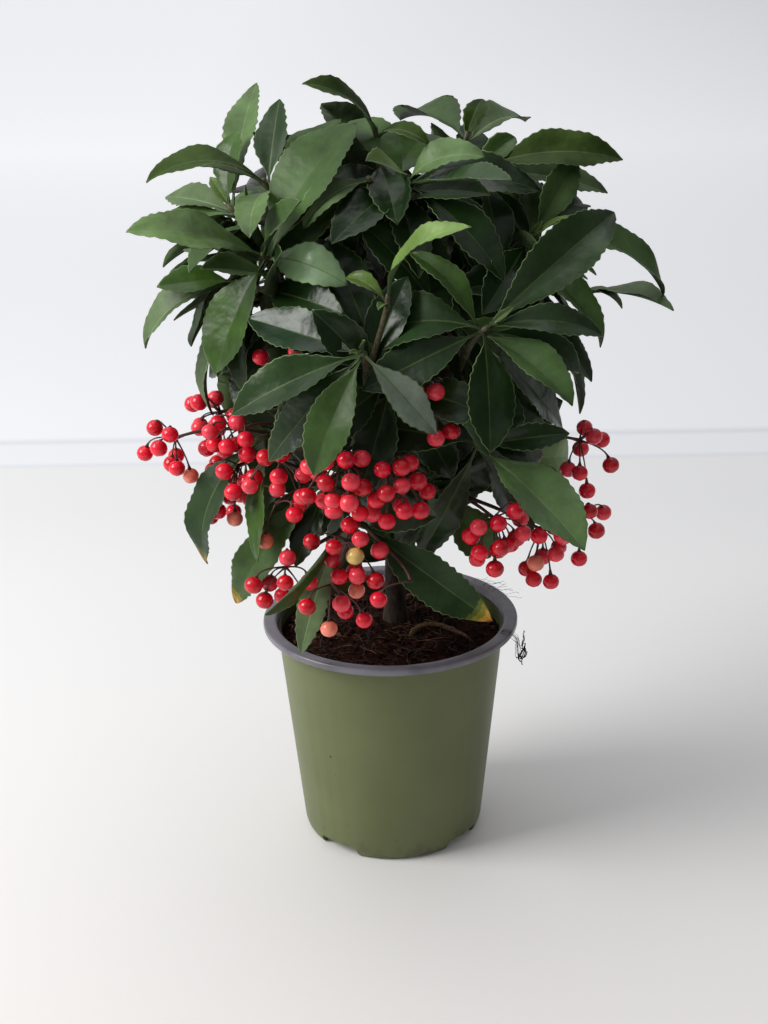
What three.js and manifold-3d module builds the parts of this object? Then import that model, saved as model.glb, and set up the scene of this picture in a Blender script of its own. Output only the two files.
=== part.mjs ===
// A coral ardisia in its nursery pot: a small evergreen shrub with one woody trunk, boughs that carry
// whorls of leaves, and leafy side branches whose umbels of berries hang in a ring under the foliage.
// Millimetres, +Z up. The origin is the middle of the pot's flat underside, and the front faces -Y.
import * as THREE from 'three';
import { mergeVertices } from 'three/addons/utils/BufferGeometryUtils.js';
import Module from 'manifold-3d';

const wasm = await Module();
wasm.setup();

// Driving sizes
const GAP = 0.3;
const POT = { height: 129, topRadius: 62.4, baseRadius: 50.3, wall: 1.6, sides: 26 };
const RIM = { radius: 70, height: 6, chamfer: 1.2, ledge: 3.4 };
const FOOT = { height: 6, inset: 3.2, notches: 4, notchWidth: 25, notchDepth: 11, firstNotch: -129 };
const SOIL_HEIGHT = 117;
const TRUNK = {
  foot: [3, 12], tip: [0, -4], height: 332, footRadius: 7.6, tipRadius: 3.2, flare: 2.6, flareHeight: 14,
};
const BOUGH = { rootRadius: 3.1, tipRadius: 2.3, rootRise: 30, tipRise: 50 };
const TWIG = { stemRadius: 2.4, rootRadius: 2, tipRadius: 1.8, forkStart: 0.34, forkStep: 0.14 };
const FRUIT_STEM_RISE = 34;
const UMBEL_RISE = -18;
const LEAF = { length: 80, width: 30, thickness: 1, petiole: 0.09, stalk: 0.06, sunk: 0.6, whorl: 12 };
// A leaf's arc from root to tip and the upward fold of each half, least and most, in degrees.
const BEND = [22, 52];
const FOLD = [8, 20];
// Leaves that follow by rule: their opening and size change from the oldest to the youngest.
const RULED = { spread: 32, opening: [98, 46], openingPlay: 12, headingPlay: 14, size: [0.92, 0.55] };
const SIZE_PLAY = [0.88, 1.08];
const WIDTH_PLAY = [0.92, 1.08];
const GOLDEN_ANGLE = 137.5;
const BERRY = { radius: 4.6, stalk: 17, stalkRadius: 0.85, sunk: 1.5, knobRadius: 3.2, droop: 0.45 };
const UMBEL_OPENING = [10, 100];
const STALK_PLAY = [0.7, 1.35];
// The crown is a dome: no leaf that follows by rule may reach out of it.
const CROWN = { reach: 148, middle: 260, rise: 155, squareness: 4 };
// Every leaf claims a grid of small balls this far apart, and no other leaf or limb may enter one.
const CLAIM = { spacing: 3.4, radius: 1.9, limbMargin: 0.8 };

const COLOURS = {
  pot: 0x6f7b50, rim: 0x8d8c9b, soil: 0x2b1d17, bark: 0x6a5440, leaf: 0x2f5a2d, berry: 0xd3182b,
};

// Places are told as degrees round the pot's axis (0 to the right, -90 to the front), reach and height.
// Boughs: the height at which each leaves the trunk, and the place of its tip.
const BOUGHS = [
  { name: 'bough_front', from: 206, round: -99, reach: 54, height: 266 },
  { name: 'bough_front_right', from: 216, round: -54, reach: 50, height: 264 },
  { name: 'bough_left', from: 234, round: 209, reach: 41, height: 292 },
  { name: 'bough_top_left', from: 288, round: 182, reach: 36, height: 326 },
  { name: 'bough_top_right', from: 280, round: 14, reach: 30, height: 334 },
  { name: 'bough_right', from: 246, round: -6, reach: 58, height: 290 },
  { name: 'bough_back_right', from: 228, round: 52, reach: 50, height: 276 },
  { name: 'bough_back', from: 268, round: 96, reach: 36, height: 318 },
  { name: 'bough_back_left', from: 220, round: 138, reach: 50, height: 272 },
];

// Masses of foliage: each grows from its bough's tip, and its twigs end in whorls of leaves. A whorl has a
// place, and an axis that faces round and tilts from upright. Its leaves are told one by one as a heading
// seen from outside (0 right, 90 up), the angle between leaf and axis, and a share of the full length.
// More leaves then follow by rule.
const FOLIAGE = [
  { name: 'foliage_front', bough: 'bough_front', seed: 11, whorls: [
    { round: -100, reach: 97, height: 299, facing: -100, tilt: 62, more: 4,
      leaves: [[207, 78, 0.8], [258, 80, 0.76], [322, 76, 0.8], [163, 100, 0.7]] },
    { round: -89, reach: 72, height: 326, facing: -88, tilt: 40, more: 4,
      leaves: [[41, 87, 0.66], [146, 100, 0.42], [109, 60, 0.28]] },
    { round: -84, reach: 56, height: 276, facing: -84, tilt: 84, more: 2,
      leaves: [[299, 100, 0.78], [249, 70, 0.78], [212, 70, 0.72], [342, 70, 0.72]] },
  ] },
  { name: 'foliage_front_right', bough: 'bough_front_right', seed: 12, whorls: [
    { round: -57, reach: 89, height: 310, facing: -57, tilt: 62, more: 3,
      leaves: [[27, 74, 1.12], [173, 89, 0.92], [316, 98, 0.86], [246, 84, 0.88], [346, 92, 0.85],
        [190, 108, 0.9], [136, 74, 0.75], [290, 108, 0.85]] },
    { round: -56, reach: 85, height: 246, facing: -54, tilt: 80, more: 2,
      leaves: [[310, 89, 1.05], [359, 89, 0.7], [335, 100, 0.7], [220, 76, 0.75]] },
    { round: -62, reach: 48, height: 318, facing: -80, tilt: 64, more: 6, first: 200, leaves: [] },
  ] },
  { name: 'foliage_left', bough: 'bough_left', seed: 13, whorls: [
    { round: 210, reach: 70, height: 338, facing: 232, tilt: 56, more: 2,
      leaves: [[184, 76, 0.95], [350, 88, 0.78], [283, 75, 0.9], [58, 76, 1.05], [340, 104, 0.85],
        [300, 100, 0.9], [200, 100, 0.5]] },
    { round: 195, reach: 78, height: 321, facing: 215, tilt: 66, more: 3,
      leaves: [[229, 82, 0.82], [200, 100, 0.6], [262, 98, 0.9]] },
  ] },
  { name: 'foliage_top_left', bough: 'bough_top_left', seed: 14, whorls: [
    { round: 189, reach: 61, height: 370, facing: 225, tilt: 38, more: 3,
      leaves: [[198, 85, 0.85], [110, 74, 0.6], [302, 89, 0.55], [178, 45, 0.42]] },
    { round: 174, reach: 80, height: 354, facing: 205, tilt: 30, more: 3,
      leaves: [[117, 64, 0.88], [197, 90, 0.7], [215, 70, 0.7]] },
    { round: 176, reach: 56, height: 322, facing: 176, tilt: 66, more: 5, first: 250, leaves: [] },
  ] },
  { name: 'foliage_top', bough: 'trunk', seed: 15, whorls: [
    { round: 233, reach: 6, height: 394, facing: -100, tilt: 36, more: 2,
      leaves: [[147, 89, 0.62], [267, 83, 0.58], [300, 92, 0.7], [327, 71, 0.5], [210, 60, 0.35]] },
    { round: 256, reach: 31, height: 374, facing: -110, tilt: 50, more: 2,
      leaves: [[240, 64, 0.58], [290, 78, 0.85], [324, 82, 0.85], [200, 92, 0.8]] },
    { round: -59, reach: 25, height: 370, facing: -72, tilt: 45, more: 2,
      leaves: [[19, 100, 0.62], [283, 72, 1.05], [310, 92, 0.9], [330, 66, 0.7]] },
  ] },
  { name: 'foliage_top_right', bough: 'bough_top_right', seed: 16, whorls: [
    { round: 0, reach: 50, height: 374, facing: -45, tilt: 52, more: 3,
      leaves: [[341, 68, 1], [322, 86, 0.92], [15, 89, 0.5], [250, 92, 0.7]] },
    { round: 25, reach: 48, height: 387, facing: -60, tilt: 25, more: 3,
      leaves: [[185, 65, 0.72], [60, 84, 0.55], [20, 88, 0.55], [340, 62, 0.5]] },
  ] },
  { name: 'foliage_right', bough: 'bough_right', seed: 17, whorls: [
    { round: -15, reach: 77, height: 342, facing: -35, tilt: 45, more: 3,
      leaves: [[64, 88, 0.52], [359, 60, 0.32], [20, 90, 0.7], [237, 72, 0.8], [176, 90, 0.75]] },
    { round: 5, reach: 107, height: 306, facing: -30, tilt: 62, more: 3,
      leaves: [[324, 77, 0.78], [344, 90, 0.74], [28, 80, 0.7], [215, 80, 0.62], [280, 90, 0.8]] },
    { round: 24, reach: 76, height: 318, facing: 24, tilt: 66, more: 5, first: 60, leaves: [] },
  ] },
  { name: 'foliage_back_right', bough: 'bough_back_right', seed: 18, whorls: [
    { round: 52, reach: 94, height: 302, facing: 50, tilt: 62, more: 9, first: 30, leaves: [] },
    { round: 66, reach: 74, height: 342, facing: 60, tilt: 44, more: 8, first: 200, leaves: [] },
    { round: 36, reach: 74, height: 352, facing: 30, tilt: 40, more: 7, first: 100, leaves: [] },
  ] },
  { name: 'foliage_back', bough: 'bough_back', seed: 19, whorls: [
    { round: 92, reach: 46, height: 378, facing: 90, tilt: 30, more: 9, first: 90, leaves: [] },
    { round: 96, reach: 88, height: 322, facing: 95, tilt: 60, more: 8, first: 10, leaves: [] },
    { round: 118, reach: 70, height: 352, facing: 125, tilt: 46, more: 7, first: 60, leaves: [] },
  ] },
  { name: 'foliage_back_left', bough: 'bough_back_left', seed: 20, whorls: [
    { round: 136, reach: 96, height: 306, facing: 136, tilt: 62, more: 9, first: 150, leaves: [] },
    { round: 156, reach: 86, height: 340, facing: 156, tilt: 48, more: 8, first: 330, leaves: [] },
    { round: 170, reach: 100, height: 296, facing: 175, tilt: 66, more: 7, first: 20, leaves: [] },
  ] },
];

// Fruiting branches: each leaves the trunk at a height and ends in umbels of berries, with a whorl of
// leaves that hang among them. An umbel is told as round, reach, height and its number of berries.
const FRUITING = [
  { name: 'fruit_left', from: 204, seed: 31,
    umbels: [[190, 106, 240, 7], [181, 88, 247, 9], [206, 76, 246, 9]],
    whorls: [{ round: 204, reach: 74, height: 240, facing: 215, tilt: 96, more: 2, first: 20,
      leaves: [[250, 78, 1], [222, 66, 0.64]] }] },
  { name: 'fruit_left_low', from: 176, seed: 32,
    umbels: [[203, 86, 226, 8], [188, 82, 210, 4]],
    whorls: [
      { round: 222, reach: 62, height: 214, facing: 222, tilt: 100, more: 3, first: 290, leaves: [] },
    ] },
  { name: 'fruit_front_left', from: 194, seed: 33,
    umbels: [[230, 78, 244, 8], [229, 80, 218, 2]],
    whorls: [
      { round: 236, reach: 62, height: 222, facing: 236, tilt: 104, more: 3, first: 236, leaves: [] },
    ] },
  { name: 'fruit_front', from: 184, seed: 34,
    umbels: [[256, 84, 250, 11], [267, 78, 246, 12]],
    whorls: [{ round: -66, reach: 50, height: 226, facing: -68, tilt: 104, more: 2, first: 180,
      leaves: [[287, 80, 0.85], [265, 73, 0.6], [314, 94, 0.7]] }] },
  { name: 'fruit_front_low', from: 162, seed: 35,
    umbels: [[228, 76, 190, 7], [252, 76, 196, 9], [247, 72, 174, 6], [282, 68, 187, 1]],
    whorls: [
      { round: 256, reach: 66, height: 205, facing: 262, tilt: 100, more: 1, first: 120,
        leaves: [[329, 79, 1.05], [210, 73, 0.9]] },
      { round: 243, reach: 60, height: 194, facing: 250, tilt: 118, more: 1, first: 160,
        leaves: [[257, 58, 0.85], [298, 84, 0.5], [205, 57, 0.6]] },
    ] },
  { name: 'fruit_front_right', from: 192, seed: 36,
    umbels: [[-55, 84, 218, 11], [-35, 82, 202, 11]],
    whorls: [
      { round: -62, reach: 58, height: 216, facing: -62, tilt: 108, more: 4, first: 230, leaves: [] },
    ] },
  { name: 'fruit_right', from: 200, seed: 37,
    umbels: [[0, 94, 232, 8], [-6, 98, 198, 5]],
    whorls: [
      { round: 6, reach: 74, height: 214, facing: 6, tilt: 108, more: 4, first: 300, leaves: [] },
    ] },
  { name: 'fruit_back_right', from: 180, seed: 38,
    umbels: [[42, 92, 232, 7], [58, 84, 208, 4]],
    whorls: [
      { round: 50, reach: 72, height: 212, facing: 50, tilt: 108, more: 5, first: 240, leaves: [] },
    ] },
  { name: 'fruit_back', from: 190, seed: 39,
    umbels: [[88, 92, 234, 7], [104, 82, 210, 4]],
    whorls: [
      { round: 96, reach: 70, height: 214, facing: 96, tilt: 108, more: 5, first: 310, leaves: [] },
    ] },
  { name: 'fruit_back_left', from: 174, seed: 40,
    umbels: [[134, 90, 234, 7], [152, 88, 208, 4]],
    whorls: [
      { round: 142, reach: 72, height: 212, facing: 142, tilt: 108, more: 5, first: 250, leaves: [] },
    ] },
];

// Small tools
const radians = THREE.MathUtils.degToRad;
const mix = THREE.MathUtils.lerp;
const UP = new THREE.Vector3(0, 0, 1);

// The point that lies round the pot's axis by that many degrees, at that reach and height.
function placed(round, reach, height) {
  return new THREE.Vector3(reach * Math.cos(radians(round)), reach * Math.sin(radians(round)), height);
}

// The direction that points round the pot's axis by that many degrees and rises from level.
function outward(round, rise) {
  return placed(round, Math.cos(radians(rise)), Math.sin(radians(rise)));
}

// Numbers from 0 to 1 in an order that only depends on the seed.
function seeded(seed) {
  let state = seed * 7919 + 1;
  return () => {
    state = (state * 1664525 + 1013904223) % 4294967296;
    return state / 4294967296;
  };
}

function solidOf(geometry) {
  const bare = new THREE.BufferGeometry();
  bare.setAttribute('position', geometry.getAttribute('position'));
  bare.setIndex(geometry.index);
  const merged = mergeVertices(bare, 1e-4);
  return new wasm.Manifold(new wasm.Mesh({
    numProp: 3,
    vertProperties: new Float32Array(merged.getAttribute('position').array),
    triVerts: new Uint32Array(merged.index.array),
  }));
}

function geometryOf(solid) {
  const made = solid.getMesh();
  const geometry = new THREE.BufferGeometry();
  geometry.setAttribute('position', new THREE.BufferAttribute(made.vertProperties, 3));
  geometry.setIndex(new THREE.BufferAttribute(made.triVerts, 1));
  geometry.computeVertexNormals();
  return geometry;
}

// Fuses solids into one body: hollows that the fusing seals are filled, and loose scraps are dropped.
function fused(solids) {
  const bodies = solids.reduce((whole, next) => whole.add(next)).decompose();
  return bodies.reduce((largest, body) => (body.volume() > largest.volume() ? body : largest));
}

// A closed shape laid out from its first pole to its last. place(step, angle, out) puts each point: step is
// the ring's number, angle goes round the ring, and out is 0 at the two poles and 1 between them.
function lofted(sides, steps, place) {
  const shape = new THREE.SphereGeometry(1, sides, steps);
  const points = shape.getAttribute('position');
  for (let i = 0; i < points.count; i++) {
    const [x, y, z] = [points.getX(i), points.getY(i), points.getZ(i)];
    const step = Math.round((steps * Math.acos(-y)) / Math.PI);
    const isPole = step === 0 || step === steps;
    const point = place(step, isPole ? 0 : Math.atan2(z, x), isPole ? 0 : 1);
    points.setXYZ(i, point.x, point.y, point.z);
  }
  return solidOf(shape);
}

// Limbs
// A limb is a curve with a radius all along its length. extra swells it, to cut its neighbours clear.
function limbSolid(limb, extra = 0) {
  const rings = limb.rings;
  const frames = limb.curve.computeFrenetFrames(rings);
  return lofted(limb.sides, rings + 2, (step, angle, out) => {
    const ring = THREE.MathUtils.clamp(step - 1, 0, rings);
    const radius = out * (limb.radiusAt(ring / rings) + extra);
    const overrun = ring === 0 ? -extra : ring === rings ? extra : 0;
    return limb.curve.getPointAt(ring / rings)
      .addScaledVector(frames.normals[ring], radius * Math.cos(angle))
      .addScaledVector(frames.binormals[ring], -radius * Math.sin(angle))
      .addScaledVector(frames.tangents[ring], overrun);
  });
}

function limb(start, startWay, end, endWay, rootRadius, tipRadius, sides, rings) {
  const pull = start.distanceTo(end) * 0.36;
  const startPull = start.clone().addScaledVector(startWay, pull);
  const endPull = end.clone().addScaledVector(endWay, -pull);
  const curve = new THREE.CubicBezierCurve3(start, startPull, endPull, end);
  return { curve, sides, rings, radiusAt: (t) => mix(rootRadius, tipRadius, t) };
}

// The trunk leans a little and flares where it enters the soil.
function makeTrunk() {
  const foot = new THREE.Vector3(...TRUNK.foot, SOIL_HEIGHT + GAP);
  const tip = new THREE.Vector3(...TRUNK.tip, TRUNK.height);
  const trunk = limb(foot, UP, tip, UP, TRUNK.footRadius, TRUNK.tipRadius, 8, 8);
  const length = TRUNK.height - SOIL_HEIGHT;
  trunk.radiusAt = (t) => mix(TRUNK.footRadius - TRUNK.flare, TRUNK.tipRadius, t)
    + TRUNK.flare * Math.exp((-t * length) / TRUNK.flareHeight);
  return trunk;
}

function trunkAt(trunk, height) {
  return trunk.curve.getPointAt((height - SOIL_HEIGHT) / (TRUNK.height - SOIL_HEIGHT));
}

// Space that is taken
const claims = [];

function claimOf(owner, isRoot, points, radius) {
  const bounds = new THREE.Sphere().setFromPoints(points);
  bounds.radius += radius;
  return { owner, isRoot, points, radius, bounds };
}

// Twigs and the roots of leaves crowd together at their own whorl, so those of one owner may touch.
function isClear(claim) {
  return claims.every((other) => {
    const related = claim.owner === other.owner && (claim.isRoot || other.isRoot);
    if (related || !claim.bounds.intersectsSphere(other.bounds)) return true;
    const nearest = (claim.radius + other.radius) ** 2;
    return claim.points.every((a) => other.points.every((b) => a.distanceToSquared(b) > nearest));
  });
}

function claimLimb(owner, part) {
  const count = Math.ceil(part.curve.getLength() / CLAIM.spacing);
  const points = part.curve.getSpacedPoints(count);
  claims.push(claimOf(owner, true, points, part.radiusAt(0.5) + CLAIM.limbMargin));
}

// Leaves
// How wide the blade is, from 0 to 1, at t along a leaf: a thin stalk, then a blade that tapers to a point.
function bladeWidth(t) {
  const along = (t - LEAF.petiole) / (1 - LEAF.petiole);
  if (along <= 0) return LEAF.stalk;
  return Math.max(LEAF.stalk * (1 - along), Math.sin(Math.PI * along) ** mix(0.85, 1.35, along));
}

// The point at t along a leaf and at across, from -1 at one margin to 1 at the other. The leaf bends down
// in an arc, and its halves fold up from the midrib.
function leafPoint(leaf, t, across, lift = 0) {
  const turn = leaf.bend * t;
  const half = 0.5 * leaf.width * bladeWidth(t);
  const normal = leaf.face.clone().multiplyScalar(Math.cos(turn))
    .addScaledVector(leaf.way, Math.sin(turn));
  return leaf.base.clone()
    .addScaledVector(leaf.way, (leaf.length * Math.sin(turn)) / leaf.bend)
    .addScaledVector(leaf.face, (-leaf.length * (1 - Math.cos(turn))) / leaf.bend)
    .addScaledVector(leaf.side, across * half * Math.cos(leaf.fold))
    .addScaledVector(normal, Math.abs(across) * half * Math.sin(leaf.fold) + lift);
}

// A leaf's solid has three edges: its two margins and a keel under the midrib. Its root is in the twig.
function leafSolid(leaf) {
  const stations = [-LEAF.sunk / leaf.length, 0.34, 0.67, 1];
  return lofted(3, stations.length - 1, (step, angle, out) => {
    const across = Math.round(out * Math.cos(angle + Math.PI / 2));
    const lift = across === 0 ? -out * LEAF.thickness : 0;
    return leafPoint(leaf, stations[step], across, lift);
  });
}

function leafClaims(owner, leaf) {
  const root = [];
  const blade = [];
  const steps = Math.ceil(leaf.length / CLAIM.spacing);
  for (let i = 1; i <= steps; i++) {
    const t = i / steps;
    const halfSteps = Math.ceil((0.5 * leaf.width * bladeWidth(t)) / CLAIM.spacing);
    for (let j = -halfSteps; j <= halfSteps; j++) {
      (t < 0.3 ? root : blade).push(leafPoint(leaf, t, j / Math.max(halfSteps, 1)));
    }
  }
  return [claimOf(owner, true, root, CLAIM.radius), claimOf(owner, false, blade, CLAIM.radius)];
}

// A leaf whose tip lies at a heading round the whorl's axis and at an opening from it. Its upper face turns
// to the axis and a little to the sky.
function leafFrom(base, axis, right, heading, opening, length, width, bend, fold) {
  const above = new THREE.Vector3().crossVectors(axis, right);
  const chord = axis.clone().multiplyScalar(Math.cos(opening))
    .addScaledVector(right, Math.sin(opening) * Math.cos(heading))
    .addScaledVector(above, Math.sin(opening) * Math.sin(heading));
  const level = axis.clone().addScaledVector(UP, 0.3);
  level.addScaledVector(chord, -level.dot(chord)).normalize();
  const way = chord.clone().multiplyScalar(Math.cos(bend / 2)).addScaledVector(level, Math.sin(bend / 2));
  const face = level.clone().multiplyScalar(Math.cos(bend / 2)).addScaledVector(chord, -Math.sin(bend / 2));
  const side = new THREE.Vector3().crossVectors(way, face);
  return { base, way, face, side, length, width, bend, fold };
}

// Where a blocked leaf may turn instead: degrees of heading and of opening, tried in this order.
const TURNS = [
  [0, 0], [0, 8], [8, 0], [-8, 0], [0, -9], [14, 6], [-14, 6], [14, -8], [-14, -8], [0, 18], [20, 0],
  [-20, 0], [0, -20], [24, 14], [-24, 14], [30, 0], [-30, 0],
];

function isInCrown(leaf) {
  const tip = leafPoint(leaf, 1, 0);
  const out = Math.hypot(tip.x, tip.y) / CROWN.reach;
  const up = Math.max(0, tip.z - CROWN.middle) / CROWN.rise;
  return out ** CROWN.squareness + up ** CROWN.squareness <= 1;
}

// The leaves told one by one sit close together at the twig's tip.
function toldLeaves(whorl) {
  return whorl.leaves.map(([heading, opening, size], i) => {
    const back = LEAF.whorl * (1 - i / whorl.leaves.length);
    return { heading, opening, size, back };
  });
}

// More leaves by the golden angle: the first are old, long and wide open, and sit back along the twig. The
// last are young and stand up at its tip.
function ruledLeaves(whorl, random) {
  const first = whorl.first ?? (whorl.leaves[0][0] + 68);
  return Array.from({ length: whorl.more }, (_, i) => {
    const youth = i / Math.max(whorl.more - 1, 1);
    const heading = first + GOLDEN_ANGLE * i + RULED.headingPlay * (random() - 0.5);
    const opening = mix(...RULED.opening, youth ** 1.3) + RULED.openingPlay * (random() - 0.5);
    const size = mix(...RULED.size, youth ** 1.6) * mix(...SIZE_PLAY, random());
    return { heading, opening, size, back: RULED.spread * (1 - youth) + 1, isRuled: true };
  });
}

// Grows the planned leaves of one whorl. A blocked leaf turns a little, and is left out if it stays blocked.
function growLeaves(owner, whorl, twig, plan, random) {
  const axis = outward(whorl.facing, 90 - whorl.tilt);
  const right = outward(whorl.facing + 90, 0);
  const reach = twig.curve.getLength();
  return plan.flatMap(({ heading, opening, size, back, isRuled }) => {
    const base = twig.curve.getPointAt(1 - Math.min(back / reach, 0.8));
    const length = LEAF.length * size;
    const width = LEAF.width * size ** 0.8 * mix(...WIDTH_PLAY, random());
    const bend = radians(mix(...BEND, random()));
    const fold = radians(mix(...FOLD, random()));
    for (const [headingTurn, openingTurn] of TURNS) {
      const leaf = leafFrom(base, axis, right, radians(heading + headingTurn),
        radians(opening + openingTurn), length, width, bend, fold);
      const taken = leafClaims(owner, leaf);
      if ((!isRuled || isInCrown(leaf)) && taken.every(isClear)) {
        claims.push(...taken);
        return [leafSolid(leaf)];
      }
    }
    return [];
  });
}

// Berries
// A stalk and its berry in one: the stalk thickens from a point inside the knob to the berry.
function stalkedBerry(centre, berry) {
  const curve = new THREE.LineCurve3(centre, berry);
  const frames = curve.computeFrenetFrames(1);
  const far = centre.distanceTo(berry);
  const belt = BERRY.radius * 0.5;
  const along = [-BERRY.sunk, far - BERRY.radius * 0.95, far - belt, far + belt, far + BERRY.radius];
  const radii = [0, BERRY.stalkRadius, BERRY.radius, BERRY.radius, 0];
  return lofted(4, along.length - 1, (step, angle, out) => centre.clone()
    .addScaledVector(frames.tangents[0], along[step])
    .addScaledVector(frames.normals[0], out * radii[step] * Math.cos(angle))
    .addScaledVector(frames.binormals[0], -out * radii[step] * Math.sin(angle)));
}

// An umbel: stalks fan out from a knob at the twig's tip and droop under their berries' weight. Each has one
// berry, which touches neither another berry nor another stalk.
function growUmbel(owner, knob, way, count, random) {
  const right = new THREE.Vector3().crossVectors(way, UP).normalize();
  const above = new THREE.Vector3().crossVectors(right, way);
  const ball = new THREE.OctahedronGeometry(BERRY.knobRadius, 0);
  ball.translate(knob.x, knob.y, knob.z);
  const stalks = [];
  for (let attempt = 0; stalks.length < count && attempt < count * 8; attempt++) {
    const heading = radians(GOLDEN_ANGLE * attempt + 20 * random());
    const opening = radians(mix(...UMBEL_OPENING, Math.sqrt(((attempt % count) + 0.5) / count)));
    const length = BERRY.stalk * mix(...STALK_PLAY, random());
    const start = way.clone().multiplyScalar(Math.cos(opening))
      .addScaledVector(right, Math.sin(opening) * Math.cos(heading))
      .addScaledVector(above, Math.sin(opening) * Math.sin(heading));
    const berry = knob.clone().addScaledVector(start, length)
      .addScaledVector(UP, -length * BERRY.droop);
    const along = [0.35, 0.5, 0.65].map((t) => knob.clone().lerp(berry, t));
    const taken = [claimOf(owner, false, [berry], BERRY.radius + 0.1), claimOf(owner, false, along, 0.9)];
    if (taken.every(isClear)) {
      claims.push(...taken);
      stalks.push(stalkedBerry(knob, berry));
    }
  }
  return [solidOf(ball), ...stalks];
}

// Pot
function turned(profile) {
  const shape = new THREE.LatheGeometry(profile.map(([r, z]) => new THREE.Vector2(r, z)), POT.sides);
  return solidOf(shape.rotateX(Math.PI / 2));
}

// The pot's body as a solid block: shrink moves its faces inwards, and it is cut off at bottom and top.
function potCore(shrink, bottom, top) {
  const wallTop = POT.height - RIM.height;
  const wallAt = (z) => mix(POT.baseRadius, POT.topRadius, (z - FOOT.height) / (wallTop - FOOT.height));
  const core = turned([
    [0, bottom],
    [POT.baseRadius - FOOT.inset - shrink, bottom],
    [POT.baseRadius - FOOT.inset * 0.35 - shrink, bottom + FOOT.height * 0.35],
    [wallAt(bottom + FOOT.height) - shrink, bottom + FOOT.height],
    [wallAt(top) - shrink, top],
    [0, top],
  ]);
  const step = 360 / FOOT.notches;
  return Array.from({ length: FOOT.notches }, (_, i) => notch(FOOT.firstNotch + step * i, shrink))
    .reduce((body, cut) => body.subtract(cut), core);
}

// A drainage notch: a recess in the foot, open below and to the side.
function notch(round, grow) {
  const width = FOOT.notchWidth + 2 * grow;
  const depth = FOOT.notchDepth + 2 * grow + 10;
  const height = 2 * (FOOT.height + grow);
  const block = new THREE.BoxGeometry(depth, width, height);
  block.translate(POT.baseRadius - FOOT.notchDepth - grow + depth / 2, 0, 0);
  block.rotateZ(radians(round));
  return solidOf(block);
}

// The rim is a band that stands out from the wall, with rounded edges and a lip that slopes in to the soil.
function rimSolid() {
  const low = POT.height - RIM.height;
  const inner = POT.topRadius - POT.wall;
  const edge = RIM.radius - RIM.chamfer;
  return turned([
    [inner, low], [edge, low], [RIM.radius, low + RIM.chamfer], [RIM.radius, POT.height - RIM.chamfer],
    [edge, POT.height], [edge - RIM.ledge, POT.height], [inner, low + POT.wall], [inner, low],
  ]);
}

// Assembly
const plant = new THREE.Group();
plant.name = 'coral_ardisia';

function addNode(name, solid, colour, roughness) {
  const material = new THREE.MeshStandardMaterial({ color: colour, roughness, metalness: 0 });
  const mesh = new THREE.Mesh(geometryOf(solid), material);
  mesh.name = name;
  plant.add(mesh);
}

const wallTop = POT.height - RIM.height - GAP;
const potInside = potCore(POT.wall, POT.wall, wallTop + 5);
addNode('pot_body', potCore(0, 0, wallTop).subtract(potInside), COLOURS.pot, 0.55);
addNode('pot_rim', rimSolid(), COLOURS.rim, 0.35);
addNode('soil', potCore(POT.wall + GAP, POT.wall + GAP, SOIL_HEIGHT), COLOURS.soil, 1);

const trunk = makeTrunk();
addNode('trunk', limbSolid(trunk), COLOURS.bark, 0.8);
claimLimb('trunk', trunk);
const trunkClearance = limbSolid(trunk, GAP);

const boughs = { trunk };
for (const { name, from, round, reach, height } of BOUGHS) {
  const bough = limb(trunkAt(trunk, from), outward(round, BOUGH.rootRise), placed(round, reach, height),
    outward(round, BOUGH.tipRise), BOUGH.rootRadius, BOUGH.tipRadius, 5, 4);
  boughs[name] = bough;
  claimLimb(name, bough);
  addNode(name, fused([limbSolid(bough).subtract(trunkClearance)]), COLOURS.bark, 0.8);
}

// A mass is one stem that runs on to its first end. Twigs fork from it one after another, and each stem or
// twig ends in a whorl of leaves or in an umbel of berries.
function layOutMass(mass, start, startWay) {
  const whorlEnds = mass.whorls.map((whorl) => ({
    whorl,
    place: placed(whorl.round, whorl.reach, whorl.height),
    way: outward(whorl.facing, 90 - whorl.tilt),
  }));
  const umbelEnds = (mass.umbels ?? []).map(([round, reach, height, count]) => ({
    count,
    place: placed(round, reach, height),
    way: outward(round, UMBEL_RISE),
  }));
  const ends = [...whorlEnds, ...umbelEnds];
  const stem = limb(start, startWay, ends[0].place, ends[0].way, TWIG.stemRadius, TWIG.tipRadius, 4, 5);
  ends.forEach((end, i) => {
    const forkAt = Math.max(TWIG.forkStart + TWIG.forkStep * (i - 1), 0);
    const fork = stem.curve.getPointAt(forkAt);
    const forkWay = end.place.clone().sub(fork).normalize().multiplyScalar(2)
      .add(stem.curve.getTangentAt(forkAt)).normalize();
    end.twig = i === 0 ? stem
      : limb(fork, forkWay, end.place, end.way, TWIG.rootRadius, TWIG.tipRadius, 3, 3);
    claimLimb(mass.name, end.twig);
  });
  return { mass, ends, random: seeded(mass.seed) };
}

const foliage = FOLIAGE.map((mass) => {
  const carrier = boughs[mass.bough].curve;
  return layOutMass(mass, carrier.getPointAt(1), carrier.getTangentAt(1));
});
const fruiting = FRUITING.map((mass) => {
  const round = mass.umbels[0][0];
  return layOutMass(mass, trunkAt(trunk, mass.from), outward(round, FRUIT_STEM_RISE));
});

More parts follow.
